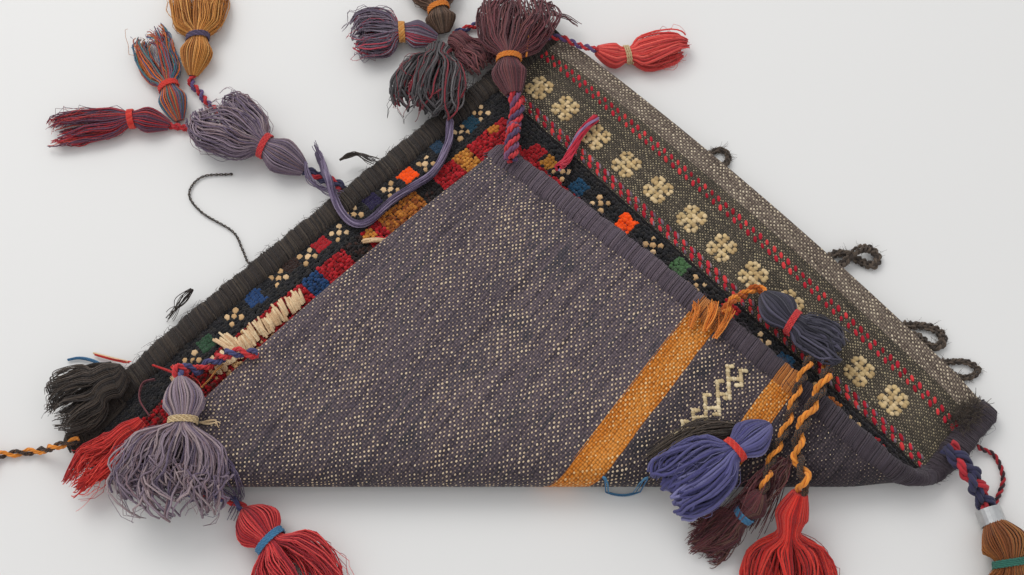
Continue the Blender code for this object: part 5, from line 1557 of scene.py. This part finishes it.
def pile_knots():
    """Places and colours of the pile that shows, in the bag's axes."""
    columns = np.arange(-HALF_WIDTH + 0.010, HALF_WIDTH - 0.009, PILE_PITCH)
    rows = np.arange(-HALF_DEPTH + 0.010, PILE_END, PILE_PITCH)
    across, up = [grid.ravel() for grid in np.meshgrid(columns, rows)]
    across = across + rng.uniform(-KNOT_JITTER, KNOT_JITTER, across.shape)
    up = up + rng.uniform(-KNOT_JITTER, KNOT_JITTER, up.shape)
    seen = shows(across, up, 0.020)
    across, up = across[seen], up[seen]
    colours = np.array([GROUND[pick] for pick in rng.integers(0, len(GROUND), len(across))], dtype="U6")
    inner = (across > INNER_LEFT) & (up < INNER_TOP)
    picks = rng.integers(0, 3, len(across))
    for start, end, shades in INNER_LENGTHS:
        here = inner & (up >= start / 1000) & (up < end / 1000) & (across < -0.12)
        colours[here] = np.array(shades)[picks][here]
    beside_mouth = inner & (across >= -0.12)
    colours[beside_mouth] = np.array(INNER_RED)[picks][beside_mouth]
    field = inner & (across > FIELD_LEFT) & (up < FIELD_TOP)
    colours[field] = np.array(FIELD)[rng.integers(0, 3, len(across))][field]
    for middle, height, colour in INNER_SPOTS:
        near = np.hypot(across - middle / 1000, up - height / 1000) < 0.0042
        colours[near & inner] = colour
    sizes = np.full(len(across), KNOT_SIZE)
    for middle, height, half, colour in SQUARES:
        away = np.maximum(np.abs(across - middle / 1000), np.abs(up - height / 1000))
        inside = (away < half / 1000) & ~inner
        colours[inside] = colour
        sizes[inside] = SQUARE_KNOT_SIZE
    # A cross is five thick knots, which take the place of the ground's knots under them.
    blobs = []
    keep_it = np.ones(len(across), bool)
    for middle, height in CROSSES:
        for right, higher in ((0, 0), (1, 1), (1, -1), (-1, 1), (-1, -1)):
            place = ((middle + right * CROSS_STEP) / 1000 + rng.uniform(-KNOT_JITTER, KNOT_JITTER),
                     (height + higher * CROSS_STEP) / 1000 + rng.uniform(-KNOT_JITTER, KNOT_JITTER))
            if not shows(place[0], place[1], 0.012) or place[1] > PILE_END - 0.0005:
                continue
            keep_it &= np.hypot(across - place[0], up - place[1]) > 0.0018
            blobs.append((*place, CROSS[rng.integers(0, 3)]))
    more = list(zip(*blobs)) + [np.full(len(blobs), CROSS_KNOT_SIZE)]
    return [np.concatenate([values[keep_it], added])
            for values, added in zip((across, up, colours, sizes), more)]


# %% The pile
across, up, colours, sizes = pile_knots()
print("knots that show:", len(across))
ground = ground_top(across, up)
height_here = np.maximum(layer_heights(across, False)[3] - ground, 0.0008)
places = laid(across, up, ground - 0.0002)
scales = np.column_stack([sizes, sizes, height_here * 1000 * rng.uniform(0.92, 1.06, len(places))])
# Pile leans towards the bottom of the bag, away from the weaver's next row.
leaning = (TO_MOUTH.x * -0.3, TO_MOUTH.y * -0.3, 1.0)
halves = {"left": across < -0.125, "mouth": across >= -0.125}
for name, chosen in halves.items():
    piece = set_stamps("pile_" + name, tuft, places[chosen], leaning, (1.0, 0.0, 0.0), scales[chosen],
                       list(colours[chosen]), CUT_PILE, Tilt=0.22)
    keep(piece, SLOTS["woven_cloth"])


# %% [markdown]
# ## Stitched patterns on the band and on the back
# The band has rosettes in undyed wool between two rows of red twining. The back has one stepped line in undyed
# wool between its two orange stripes. Each is a small chart on squared paper, one stitch for each square.

# %% Rosettes
ROSETTE_CHART = (".XX.XX.",
                 "XoX.XoX",
                 "XXXXXXX",
                 "..XoX..",
                 "XXXXXXX",
                 "XoX.XoX",
                 ".XX.XX.")
ROSETTE_PITCH = 0.0021
ROSETTES = (-154.2, -131.6, -103.3, -76.4, -50.4, -22.5, 3.8, 28.9, 55.5, 82.5, 111.5, 136.3)
ROSETTE_WOOL = ("c9ae7e", "bb9e70", "d4ba8e")
# Each stitch is (across, up, colour, turn, length, width), its sizes as scales of the stamp.
stitches = []
for number, middle in enumerate(ROSETTES):
    centre_up = 0.1590 + 0.0008 * math.sin(number * 1.7)
    for row, line in enumerate(ROSETTE_CHART):
        for column, mark in enumerate(line):
            if mark == "X":
                beside = middle / 1000 + (column - 3) * ROSETTE_PITCH
                above = centre_up + (3 - row) * ROSETTE_PITCH
                stitches.append((beside + rng.uniform(-STITCH_JITTER, STITCH_JITTER),
                                 above + rng.uniform(-STITCH_JITTER, STITCH_JITTER),
                                 ROSETTE_WOOL[rng.integers(0, 3)], rng.uniform(-0.6, 0.6), 1.85, 2.5))

# %% Rows of red twining
RED_TWINE = ("c22c38", "b02030", "d23c3e", "a01c2a")
LILAC_TWINE = ("74646e", "62545e", "84727a")


def twined_row(start, up, gap, pitch, shades, slant, size, lag=0.5):
    """Two lines of slanting stitches side by side, the second a share of a stitch on from the first."""
    made = []
    for line, shift in ((-0.5, 0.0), (0.5, lag)):
        along_row = start + shift * pitch
        while along_row < 0.172:
            made.append((along_row + rng.uniform(-0.0003, 0.0003), up(along_row) + line * gap,
                         shades[rng.integers(0, len(shades))], slant + rng.uniform(-0.12, 0.12), *size))
            along_row += pitch
    return made


def inner_row_up(place):
    return 0.1445 - 0.00125 * (place + 0.138)


def outer_row_up(place):
    return 0.1797 - 0.0172 * (place + 0.156)


stitches += twined_row(-0.172, inner_row_up, 0.0036, 0.0067, RED_TWINE, 0.55, (3.0, 2.1))
stitches += twined_row(-0.1705, inner_row_up, 0.0046, 0.0067, LILAC_TWINE, 0.5, (2.2, 1.4))
stitches += twined_row(-0.172, outer_row_up, 0.0034, 0.0058, RED_TWINE, 0.75, (2.5, 1.9), lag=0.15)
print("stitches on the band:", len(stitches))
across, up, turns = [np.array([stitch[part] for stitch in stitches]) for part in (0, 1, 3)]
places = laid(across, up, ground_top(across, up) - 0.0003)
headings = np.column_stack([np.cos(turns) * ACROSS.x - np.sin(turns) * TO_MOUTH.x,
                            np.cos(turns) * ACROSS.y - np.sin(turns) * TO_MOUTH.y, np.zeros(len(turns))])
scales = np.array([(entry[4], entry[5], 1.25) for entry in stitches])
keep(set_stamps("band_stitches", stitch, places, (0.0, 0.0, 1.0), headings, scales,
                [entry[2] for entry in stitches], STITCH_WOOL, Turn=0.15, Tilt=0.1), SLOTS["woven_cloth"])

# %% The stepped line on the folded-up back
# Each bar of the line in millimetres on the plan: its x, its lower end and its upper end.
CREAM_SHADES = ("d4bf96", "c6ae84", "decaa4", "bca67e")
BARS = ((84.5, -140.5, -128.0), (90.7, -133.5, -121.0), (97.0, -127.0, -114.4), (104.1, -125.0, -105.4),
        (111.6, -116.8, -97.0), (118.1, -107.2, -87.9), (125.2, -99.5, -90.5))
segments = []
for number, (x, low, high) in enumerate(BARS):
    segments += [((x, low), (x, high)), ((x, high), (x + 3.0, high)), ((x, low), (x - 3.0, low))]
    if number + 1 < len(BARS):
        segments.append(((x, (low + high) / 2 + 2.0), (BARS[number + 1][0], (low + high) / 2 + 2.0)))
brocade = []
for (x0, y0), (x1, y1) in segments:
    count = max(round(math.hypot(x1 - x0, y1 - y0) / 1.5), 1)
    for step in range(count + 1):
        share = step / count
        brocade.append(((x0 + (x1 - x0) * share) / 1000 + rng.uniform(-STITCH_JITTER, STITCH_JITTER),
                        (y0 + (y1 - y0) * share) / 1000 + rng.uniform(-STITCH_JITTER, STITCH_JITTER),
                        FLAP_TOP - 0.0007))
print("stitches on the back:", len(brocade))
colours = [CREAM_SHADES[rng.integers(0, 4)] for _ in brocade]
keep(set_stamps("back_brocade", stitch, np.array(brocade), (0.0, 0.0, 1.0), (ACROSS.x, ACROSS.y, 0.0),
                (1.6, 1.9, 1.1), colours, STITCH_WOOL, Turn=0.5, Tilt=0.1), SLOTS["woven_cloth"])


for stamp_object in (tuft, stitch):
    bpy.data.objects.remove(stamp_object)


# %% [markdown]
# ## Side bindings and loose yarn
# Both sides are closed by overcasting: yarn wound over the edge, turn after turn, until it makes a roll. Each
# turn here is a short line round the roll's section. One more tree gives any set of lines its thickness. It
# also makes the hairs that stand out of goat hair.

# %% Tree: yarn along many lines
yarn_tree, given = new_tree("yarn_on_lines", {"Yarn Radius": 0.0008, "Sides": 5})
line = add(yarn_tree, "GeometryNodeMeshToCurve", {"Mesh": given["Guide"]})
thin = add(yarn_tree, "GeometryNodeInputNamedAttribute", {"Name": "thin"}, data_type="FLOAT")
end_in_yarn(yarn_tree, given, measured(yarn_tree, line), given["Yarn Radius"], Scale=thin)


def yarn_lines(name, lines_of_points, radius, material, node, sides=4, thins=None):
    """Keep many lines of yarn as one piece, beside the node's own. thins scales the yarn at each point of a line."""
    points, edges, strand, thin = [], [], [], []
    for number, line_points in enumerate(lines_of_points):
        first = len(points)
        points += [tuple(point) for point in line_points]
        edges += [(index, index + 1) for index in range(first, len(points) - 1)]
        strand += [number] * len(line_points)
        thin += list(thins) if thins is not None else [1.0] * len(line_points)
    guide = guide_mesh(points, edges, strand=strand, thin=thin)
    piece = grow(name, guide, yarn_tree, {"Yarn Radius": radius, "Sides": sides, "Material": material})
    return keep(piece, SLOTS[node])


# %% The rolls
def roll_point(side, up, out, height):
    """Place of a point beside the bag's side edge: out from the edge, and its height in the flat bag."""
    held = np.clip(up, -HALF_DEPTH, HALF_DEPTH)
    edge_across, edge_up = outline(side * HALF_WIDTH, held)
    x, y = plan_place(edge_across + side * out, edge_up + (up - held))
    return folded(np.column_stack([x, y, height]))


def bulge(up, side):
    """How the roll's thickness changes along it, as a share."""
    end = np.clip((np.abs(up) - HALF_DEPTH + 0.005) / (BINDING_END + 0.005), 0.0, 1.0)
    waves = 0.05 * np.sin(up * 230 + side) + 0.035 * np.sin(up * 610 + 2.0) + 0.02 * np.sin(up * 1170 + 0.5)
    return waves - 0.4 * end ** 2


def roll_section(angle, fat, inset):
    """Out from the edge, and height, of a point of the roll's rounded section."""
    cosine, sine = np.cos(angle), np.sin(angle)
    out = BINDING_OVERHANG - BINDING_WIDTH / 2 + np.copysign(np.abs(cosine) ** 0.72, cosine) * (
        BINDING_WIDTH / 2 - inset) * fat
    height = BINDING_FLOOR_GAP + BINDING_HEIGHT / 2 + np.copysign(np.abs(sine) ** 0.72, sine) * (
        BINDING_HEIGHT / 2 - inset) * np.minimum(fat, 1.0)
    return out, height


def overcast(side, pitch, slant, radius, spread):
    """Turns of yarn round the roll, a little slanted, each from its under edge to its upper one."""
    turns = []
    steps = np.linspace(0.0, 1.0, 13)
    for up in np.arange(-HALF_DEPTH - BINDING_END + radius, HALF_DEPTH + BINDING_END - radius, pitch):
        fat = 1 + bulge(up, side) + rng.normal(0.0, 0.006)
        out, height = roll_section(math.pi - 0.32 - (2 * math.pi - 0.64) * steps, fat, radius + 0.0001)
        shift = (slant + rng.normal(0.0, spread)) * (steps - 0.5) + rng.normal(0.0, 0.0002)
        turns.append(roll_point(side, up + shift, out, height))
    return turns


# %% Hairs and core of a roll
def hairs(side, number, length, lowest_angle, highest_angle):
    """Fine hairs that stand out from a roll, each with its own lean and curl."""
    made = []
    steps = np.linspace(0.0, 1.0, 6)
    for up in rng.uniform(-HALF_DEPTH, HALF_DEPTH, number):
        angle = rng.uniform(lowest_angle, highest_angle)
        out, height = roll_section(angle, 0.99, 0.0004)
        reach = length * rng.uniform(0.3, 1.0)
        lean, curl = rng.normal(0.0, 0.9), rng.normal(0.0, 0.7)
        outs = out + math.cos(angle) * reach * steps * (1 - 0.3 * steps)
        heights = height + math.sin(angle) * reach * 0.5 * steps * (1 - 0.5 * steps)
        ups = up + reach * (lean * steps + curl * steps ** 2)
        made.append(roll_point(side, ups, outs, np.maximum(heights, 0.0003)))
    return made


def roll_core(node, side, material):
    """The roll under its turns, a closed tube with the roll's own section, 1 mm inside its surface."""
    rings, sides = 133, 16
    angles = np.linspace(0, 2 * math.pi, sides + 1)[:-1]
    points = []
    for up in np.linspace(-HALF_DEPTH - BINDING_END + 0.001, HALF_DEPTH + BINDING_END - 0.001, rings):
        out, height = roll_section(angles, 1 + bulge(up, side), 0.0010)
        points += roll_point(side, np.full(sides, up), out, height).tolist()
    faces = ring_faces(rings, sides)
    faces += [tuple(range(sides)), tuple((rings - 1) * sides + step for step in reversed(range(sides)))]
    mesh = bpy.data.meshes.new(node + "_core")
    mesh.from_pydata(points, [], faces)
    turn_faces_out(mesh)
    mesh.materials.append(material)
    return keep(new_object(node + "_core", mesh), SLOTS[node], node)


# %% Both rolls
# Felted goat hair is brown-black and dull. The right roll's wool is a washed-out purple grey, darker towards the
# fold.
GOAT_FINE = wool("matted_goat_hair", "362e28", "2e2824", "403730", "322b28", "3a322c", "4a4036", depth=0.2)
LOOP_HAIR = wool("brown_goat_hair", "564a40", "483e36", "64564a", "3e352f", depth=0.2)
EDGE_WOOL = wool("purple_grey_overcast_wool", "62545c", "574b54", "6c5e66", "5a4e54", "645862", "52464e", depth=0.12,
                 darkening=(-0.115, -0.02, 0.5))
EDGE_ORANGE = wool("faded_orange_overcast", "b8743a", "a86630", "c68548", depth=0.15)
TURN_PITCH = 0.0007
HAIR_TAPER = np.linspace(1.0, 0.35, 6)
roll_core("side_binding_left", -1, GOAT_FINE)
yarn_lines("side_binding_left_turns", overcast(-1, TURN_PITCH, 0.006, 0.0006, 0.002), 0.0006, GOAT_FINE,
           "side_binding_left")
yarn_lines("side_binding_left_hairs", hairs(-1, 500, 0.005, -0.5, 2.6), 0.00016, GOAT_FINE, "side_binding_left",
           sides=3, thins=HAIR_TAPER)
roll_core("side_binding_right", 1, EDGE_WOOL)
# Where an orange stripe of the back comes to the roll, the turns are orange too: (x, y, reach) of each place.
ORANGE_PLACES = ((0.114, -0.052, 0.011), (0.157, -0.090, 0.008))
grey_turns, orange_turns = [], []
for turn in overcast(1, TURN_PITCH, 0.005, 0.0005, 0.001):
    top = turn[np.argmax(turn[:, 2])]
    is_orange = any(math.hypot(top[0] - x, top[1] - y) < reach for x, y, reach in ORANGE_PLACES)
    (orange_turns if is_orange else grey_turns).append(turn)
yarn_lines("side_binding_right_turns", grey_turns, 0.0005, EDGE_WOOL, "side_binding_right")
yarn_lines("side_binding_right_orange", orange_turns, 0.00052, EDGE_ORANGE, "side_binding_right")
yarn_lines("side_binding_right_hairs", hairs(1, 900, 0.005, -2.6, 2.6), 0.00013, EDGE_WOOL, "side_binding_right",
           sides=3, thins=HAIR_TAPER)


# %% Tufts of long pile at the inner border
# Each tuft is (across, up) of its root and of its tip in millimetres, and its colour is undyed wool.
LONG_TUFTS = [((-141.5 + 0.9 * math.sin(step * 2.1), up), (-151.5 + 1.6 * math.sin(step * 1.3), up + 1.8))
              for step, up in enumerate(np.arange(-108.0, -44.0, 3.6))]
LONG_TUFTS += [((-143.0, -94.0), (-163.5, -97.5)), ((-144.0, -91.0), (-160.0, -94.0)),
               ((-140.0, 14.5), (-147.5, 5.5))]
long_lines = []
for root, tip in LONG_TUFTS:
    for strand in range(7):
        beside = rng.normal(0.0, 0.0008, 2)
        steps = np.linspace(0.0, 1.0, 6)
        reach = rng.uniform(0.75, 1.05)
        along_across = (root[0] + (tip[0] - root[0]) * steps * reach) / 1000 + beside[0]
        along_up = (root[1] + (tip[1] - root[1]) * steps * reach) / 1000 + beside[1] * (1 + steps)
        over = layer_heights(along_across, False)[3] + 0.0004 + 0.0022 * np.sin(steps * 2.6) * rng.uniform(0.4, 1.0)
        long_lines.append(laid(along_across, along_up, over))
UNDYED = wool("undyed_long_pile", "d8b890", "e2c8a0", "c8a47c", "dcbc94", depth=0.12)
yarn_lines("long_pile_tufts", long_lines, 0.00085, UNDYED, "woven_cloth", sides=6, thins=np.linspace(1.0, 0.8, 6))


# %% [markdown]
# ## Yarn ends
# Bits of yarn hang out of the tangles, each a small wisp of strands: cut ends, knots' tails and the goat hair
# left at the corners. Each wisp has a middle line in millimetres, and its strands spread towards the free end.

# %% Wisps
END_POINTS = 14


def fuzz(path, radius, number, length):
    """Short curled hairs that stand out all round a thick line."""
    path = np.array([tuple(point) for point in path])
    steps = np.linspace(0.0, 1.0, END_POINTS)[:, None]
    made = []
    for _ in range(number):
        way = rng.normal(0.0, 1.0, 3)
        way /= np.linalg.norm(way)
        bend = rng.normal(0.0, 0.6, 3)
        start = path[rng.integers(len(path))] + way * radius * 0.7
        line = start + length * rng.uniform(0.4, 1.0) * (way * steps + bend * steps ** 2)
        line[:, 2] = np.maximum(line[:, 2], 0.0004)
        made.append(line)
    return made


def wisp(points, strands, spread, curl=0.0):
    """Lines of a wisp round its middle line; spread is in millimetres at the free end."""
    middle = smooth_route(mm(*points), samples_per_span=5)
    middle = np.array([tuple(point) for point in middle])
    share = np.linspace(0.0, 1.0, len(middle))
    made = []
    for _ in range(strands):
        aside = rng.normal(0.0, 1.0, 3) * spread / 1000
        bend = rng.normal(0.0, 1.0, 3) * curl / 1000
        line = middle + aside * (0.35 + 0.65 * share[:, None]) + bend * np.sin(share * 5.0)[:, None]
        over = [surface_height(x, y) + 0.0006 for x, y in line[:, :2]]
        line[:, 2] = np.maximum(line[:, 2], over)
        made.append(line)
    return made


# %% The wisps
# Each entry is the wool, the CAD node that it goes with, the yarn's radius in millimetres and its wisps.
WISPS = {
    "blue_ends": (BLUE, "left_mixed_tassel", 0.45, (
        wisp([(-267, -75, 1.5), (-259.7, -74, 2), (-249.7, -77, 3), (-240, -84, 4)], 4, 0.5),
        wisp([(45, -153.5, 1.5), (52, -156.5, 1.5), (60.6, -157, 1.5), (70, -154, 1.5)], 4, 0.4))),
    "red_ends": (SCARLET, "low_red_tassel", 0.45, (
        wisp([(-236, -84, 5), (-242.7, -91.5, 5), (-245.8, -97.3, 4), (-240.3, -104, 4)], 7, 0.7, 1.0),
        wisp([(-251, -72, 2.5), (-240.2, -75.4, 3.5), (-228.1, -79.5, 8)], 6, 0.5),
        wisp([(-213.4, -82.9, 13), (-200.2, -88.7, 15), (-195.8, -93, 15)], 6, 0.6),
        wisp([(-202, -84, 14), (-196, -88, 16), (-190, -94, 17), (-188, -101, 17)], 12, 1.3, 1.0))),
    "undyed_ends": (UNDYED, "woven_cloth", 0.5, (
        wisp([(-192.6, -101.5, 15), (-197, -96.4, 16), (-200.4, -91.1, 16)], 14, 1.0),
        wisp([(-252, -71, 2.5), (-240.2, -74.4, 3.5), (-229, -78.5, 8)], 4, 0.4),
        wisp([(-196, -124, 24), (-200, -129, 24), (-197, -136, 22), (-190, -138, 21)], 4, 0.5, 1.2),
        wisp([(-180, -122, 22), (-172, -121, 20), (-168, -124, 18)], 4, 0.5, 1.0))),
    "ochre_ends": (OCHRE, "left_ochre_tassel", 0.45, (
        wisp([(-182.8, -98, 17), (-178.6, -93.1, 17), (-175.6, -88.2, 17), (-172.3, -85.3, 17)], 6, 0.8),
        wisp([(-208, -122, 14), (-219, -134, 12), (-228, -143, 9)], 5, 0.8, 0.6))),
    "burgundy_ends": (BURGUNDY, "apex_burgundy_tassel", 0.45, (
        wisp([(-211.8, -114.1, 13), (-218.7, -103.9, 13), (-217.7, -94.4, 14), (-210.8, -92.4, 15)], 4, 0.4),
        wisp([(22, 160, 16), (30, 161, 12), (38, 158, 8)], 7, 1.0, 1.0))),
    "orange_ends": (ORANGE, "right_orange_cord", 0.5, (
        wisp([(-1.5, 121, 26), (-1.0, 133, 28), (1.0, 143, 29)], 5, 0.7),
        wisp([(4.0, 121, 26), (5.5, 133, 28), (3.5, 143, 29)], 5, 0.7),
        wisp([(98, -64, 26), (101, -56, 28), (101.5, -50, 27)], 16, 1.4, 0.5),
        wisp([(106, -66, 26), (110, -58, 28), (111, -51, 27)], 16, 1.6, 0.5),
        wisp([(112, -70, 26), (117, -62, 28), (121, -52, 27)], 16, 1.6, 0.5))),
    "purple_ends": (PLUM, "purple_yarn", 0.35, (
        wisp([(-121.0, 47, 11), (-124.5, 55.5, 13), (-127.9, 64, 14)], 12, 0.8, 0.8),
        wisp([(-133, 52, 13), (-129.8, 39.6, 14), (-121, 33, 14), (-111, 29, 15)], 14, 1.2, 1.0),
        wisp([(-186, -150, 16), (-172, -152, 12), (-160, -160, 6), (-163, -169, 3)], 7, 1.0, 1.5),
        wisp([(-180, -140, 16), (-166, -143, 10), (-158, -152, 5), (-160, -162, 3)], 9, 1.2, 1.5))),
    "mouth_corner_ends": (LOOP_HAIR, "side_binding_right", 0.22, (
        fuzz(mm((252, -117, 6), (256, -113, 6), (260, -109, 6)), 0.0080, 1100, 0.0042),)),
    "olive_ends": (LOOP_HAIR, "right_burgundy_tassel", 0.3, (
        wisp([(118, -124, 27), (96, -127, 29), (74, -141, 25)], 60, 2.6, 1.6),
        wisp([(120, -128, 28), (98, -132, 29), (78, -148, 25)], 50, 3.0, 1.6))),
    "combed_ends": (DARK_BURGUNDY, "right_burgundy_tassel", 0.3, (
        wisp([(146, -146, 27), (138, -156, 24), (126, -172, 9)], 110, 4.5, 2.0),
        wisp([(136, -150, 27), (128, -162, 24), (110, -180, 7)], 90, 4.5, 2.0))),
    "goat_hair_ends": (GOAT_FINE, "corner_dark_fringe", 0.3, (
        wisp([(-238, -93, 8), (-248.6, -100.1, 5), (-259.8, -108, 3)], 30, 1.1, 0.5),
        wisp([(-233, -99, 8), (-245.6, -110.5, 5), (-254.9, -118.9, 3)], 30, 1.1, 0.5),
        wisp([(-228, -105, 8), (-239.2, -118, 4), (-245.9, -126.7, 3)], 30, 1.1, 0.5),
        wisp([(-240, -79, 6), (-252, -80, 4), (-262, -84, 3), (-268.4, -87.6, 3)], 26, 1.0, 0.4),
        wisp([(-246, -98, 6), (-256, -103.4, 4), (-264.5, -108.8, 3)], 26, 1.0, 0.4),
        wisp([(-112, 56, 9), (-102, 59, 11), (-90, 54, 12)], 20, 1.0, 1.2),
        wisp([(-196, -33, 9), (-203, -41, 7), (-210, -49, 4)], 16, 1.0, 1.2))),
}
for name, (material, node, radius, wisps) in WISPS.items():
    ends = [line for lot in wisps for line in lot]
    joined = [np.array([np.interp(np.linspace(0, 1, END_POINTS), np.linspace(0, 1, len(line)), line[:, axis])
                        for axis in range(3)]).T for line in ends]
    yarn_lines("yarn_" + name, joined, radius / 1000, material, node, thins=np.linspace(1.0, 0.6, END_POINTS))


# %% [markdown]
# ## Closing loops and the metal ferrule
# The loops at the mouth are plaits of goat hair. The ferrule keeps its CAD shape and gets the dull, scratched
# look of old tinned metal.

# %% Mouth loops
LOOPS = (
    (0.0017, mm((-47.3, 0, 0), (-48, 5.5, 0), (-45.6, 10.3, 0), (-40.4, 11.2, 0), (-36.8, 7, 0), (-36.3, 0, 0))),
    (0.0022, mm((52, 0, 0), (52, 7, 0), (57.5, 12.5, 0), (66.5, 14.5, 0), (73.5, 18, 0), (72, 24, 0),
                (65.5, 24.5, 1.2), (61.5, 18.5, 4.6), (60.5, 13, 4.9), (60.5, 7.5, 2.0), (60, 0, 0))),
    (0.0022, mm((110, 0, 0), (115.5, 7, 0), (123.5, 13.5, 0), (131.5, 14.5, 0), (135, 9, 0), (131, 3.6, 0),
                (124, 3.8, 0), (119, 0, 0))),
    (0.0017, mm((140.5, 0, 0), (144.5, 5.6, 0), (152, 13.4, 0), (160, 14.6, 0), (159.5, 7.5, 0), (154, 2.2, 0),
                (148.5, 0, 0))),
)
# A plait is loose, so its yarns spread a little past the CAD model's tube.
LOOP_SPREAD = 1.4
for number, (radius, points) in enumerate(LOOPS, start=1):
    node = f"mouth_loop_{number}"
    inside_height = BACK_THICKNESS + POCKET / 2
    start, end = points[0][0], points[-1][0]
    route = [(start, -LOOP_INSET, inside_height), (start, 0.0, inside_height)]
    route += [(across, out, radius + LIFT + lift) for across, out, lift in points[1:-1]]
    route += [(end, 0.0, inside_height), (end, -LOOP_INSET, inside_height)]
    _, mouth_edge = outline((start + end) / 2, HALF_DEPTH)
    centres = [Vector((*to_plan(across, mouth_edge + out), height)) for across, out, height in route]
    loop, _ = wind(node + "_braid", smooth_route(centres, samples_per_span=4), LOOP_SPREAD * radius, LOOP_HAIR,
                   plies=3, yarns=2, plait=1.0, lay=0.011)
    keep(loop, SLOTS[node], node)
    yarn_lines(node + "_hairs", fuzz(centres, radius, 160, 0.0035), 0.00014, LOOP_HAIR, node, sides=3,
               thins=np.linspace(1.0, 0.4, END_POINTS))

# %% Tinned metal
# A soft, grey shine, dulled by scratches and clouds of tarnish about 4 mm across.
TINNED, tree, shader = new_material("old_tinned_metal", {"Metallic": 1.0})
place = add(tree, "ShaderNodeTexCoord").outputs["Object"]
stretch = add(tree, "ShaderNodeVectorMath", {0: place, 1: (900.0, 250.0, 900.0)}, operation="MULTIPLY")
scratches = add(tree, "ShaderNodeTexNoise", {"Vector": stretch, "Scale": 1.0, "Detail": 4.0})
dull = add(tree, "ShaderNodeMapRange", {"Value": scratches, 1: 0.3, 2: 0.7, 3: 0.3, 4: 0.6})
tarnish = add(tree, "ShaderNodeTexNoise", {"Vector": place, "Scale": 260.0, "Detail": 3.0})
metal = add(tree, "ShaderNodeMix", {0: tarnish, 6: linear("a8a8a8"), 7: linear("d6d6d4")}, data_type="RGBA")
tree.links.new(dull.outputs["Result"], shader.inputs["Roughness"])
link_surface(tree, shader, metal.outputs[2], scratches, 0.4, 0.0002)
ferrule = frame["nodes"]["braid_ferrule"]
for metal_slot in ferrule.material_slots:
    metal_slot.material = TINNED
print("ferrule:", ferrule.name)


# %% [markdown]
# ## What is a cord
# Each free cord is listed with what hangs on it, and the loop below gathers its tassels and ties. The photograph
# shows each of them from end to end. The three thick braids are too short and too stiff to be free cords, so they are
# plain pieces.

HANGS_ON = {
    "left_red_cord": ("left_red", "left_mixed"),
    "left_ochre_cord": ("left_ochre",),
    "top_cord": ("top_purple", "top_grey", "top_brown", "top_burgundy"),
    "top_red_cord": ("top_red",),
    "low_grey_cord": ("low_grey",),
    "low_red_cord": ("low_red",),
    "corner_cord": ("corner_red",),
    "right_orange_cord": ("right_purple",),
    "right_cord_1": ("right_burgundy", "right_lilac"),
    "right_cord_2": ("right_red",),
}
NOT_FREE = ("left_braid", "apex_braid", "corner_braid")
for name, (piece, path) in cords.items():
    if name in NOT_FREE:
        continue
    hangs = [tassels[tassel] for tassel in HANGS_ON.get(name, ())]
    hangs += [ties[tassel] for tassel in HANGS_ON.get(name, ()) if tassel in ties]

print("cloth declared, mm:", round(CLOTH_WIDTH * 1000), "x 800")
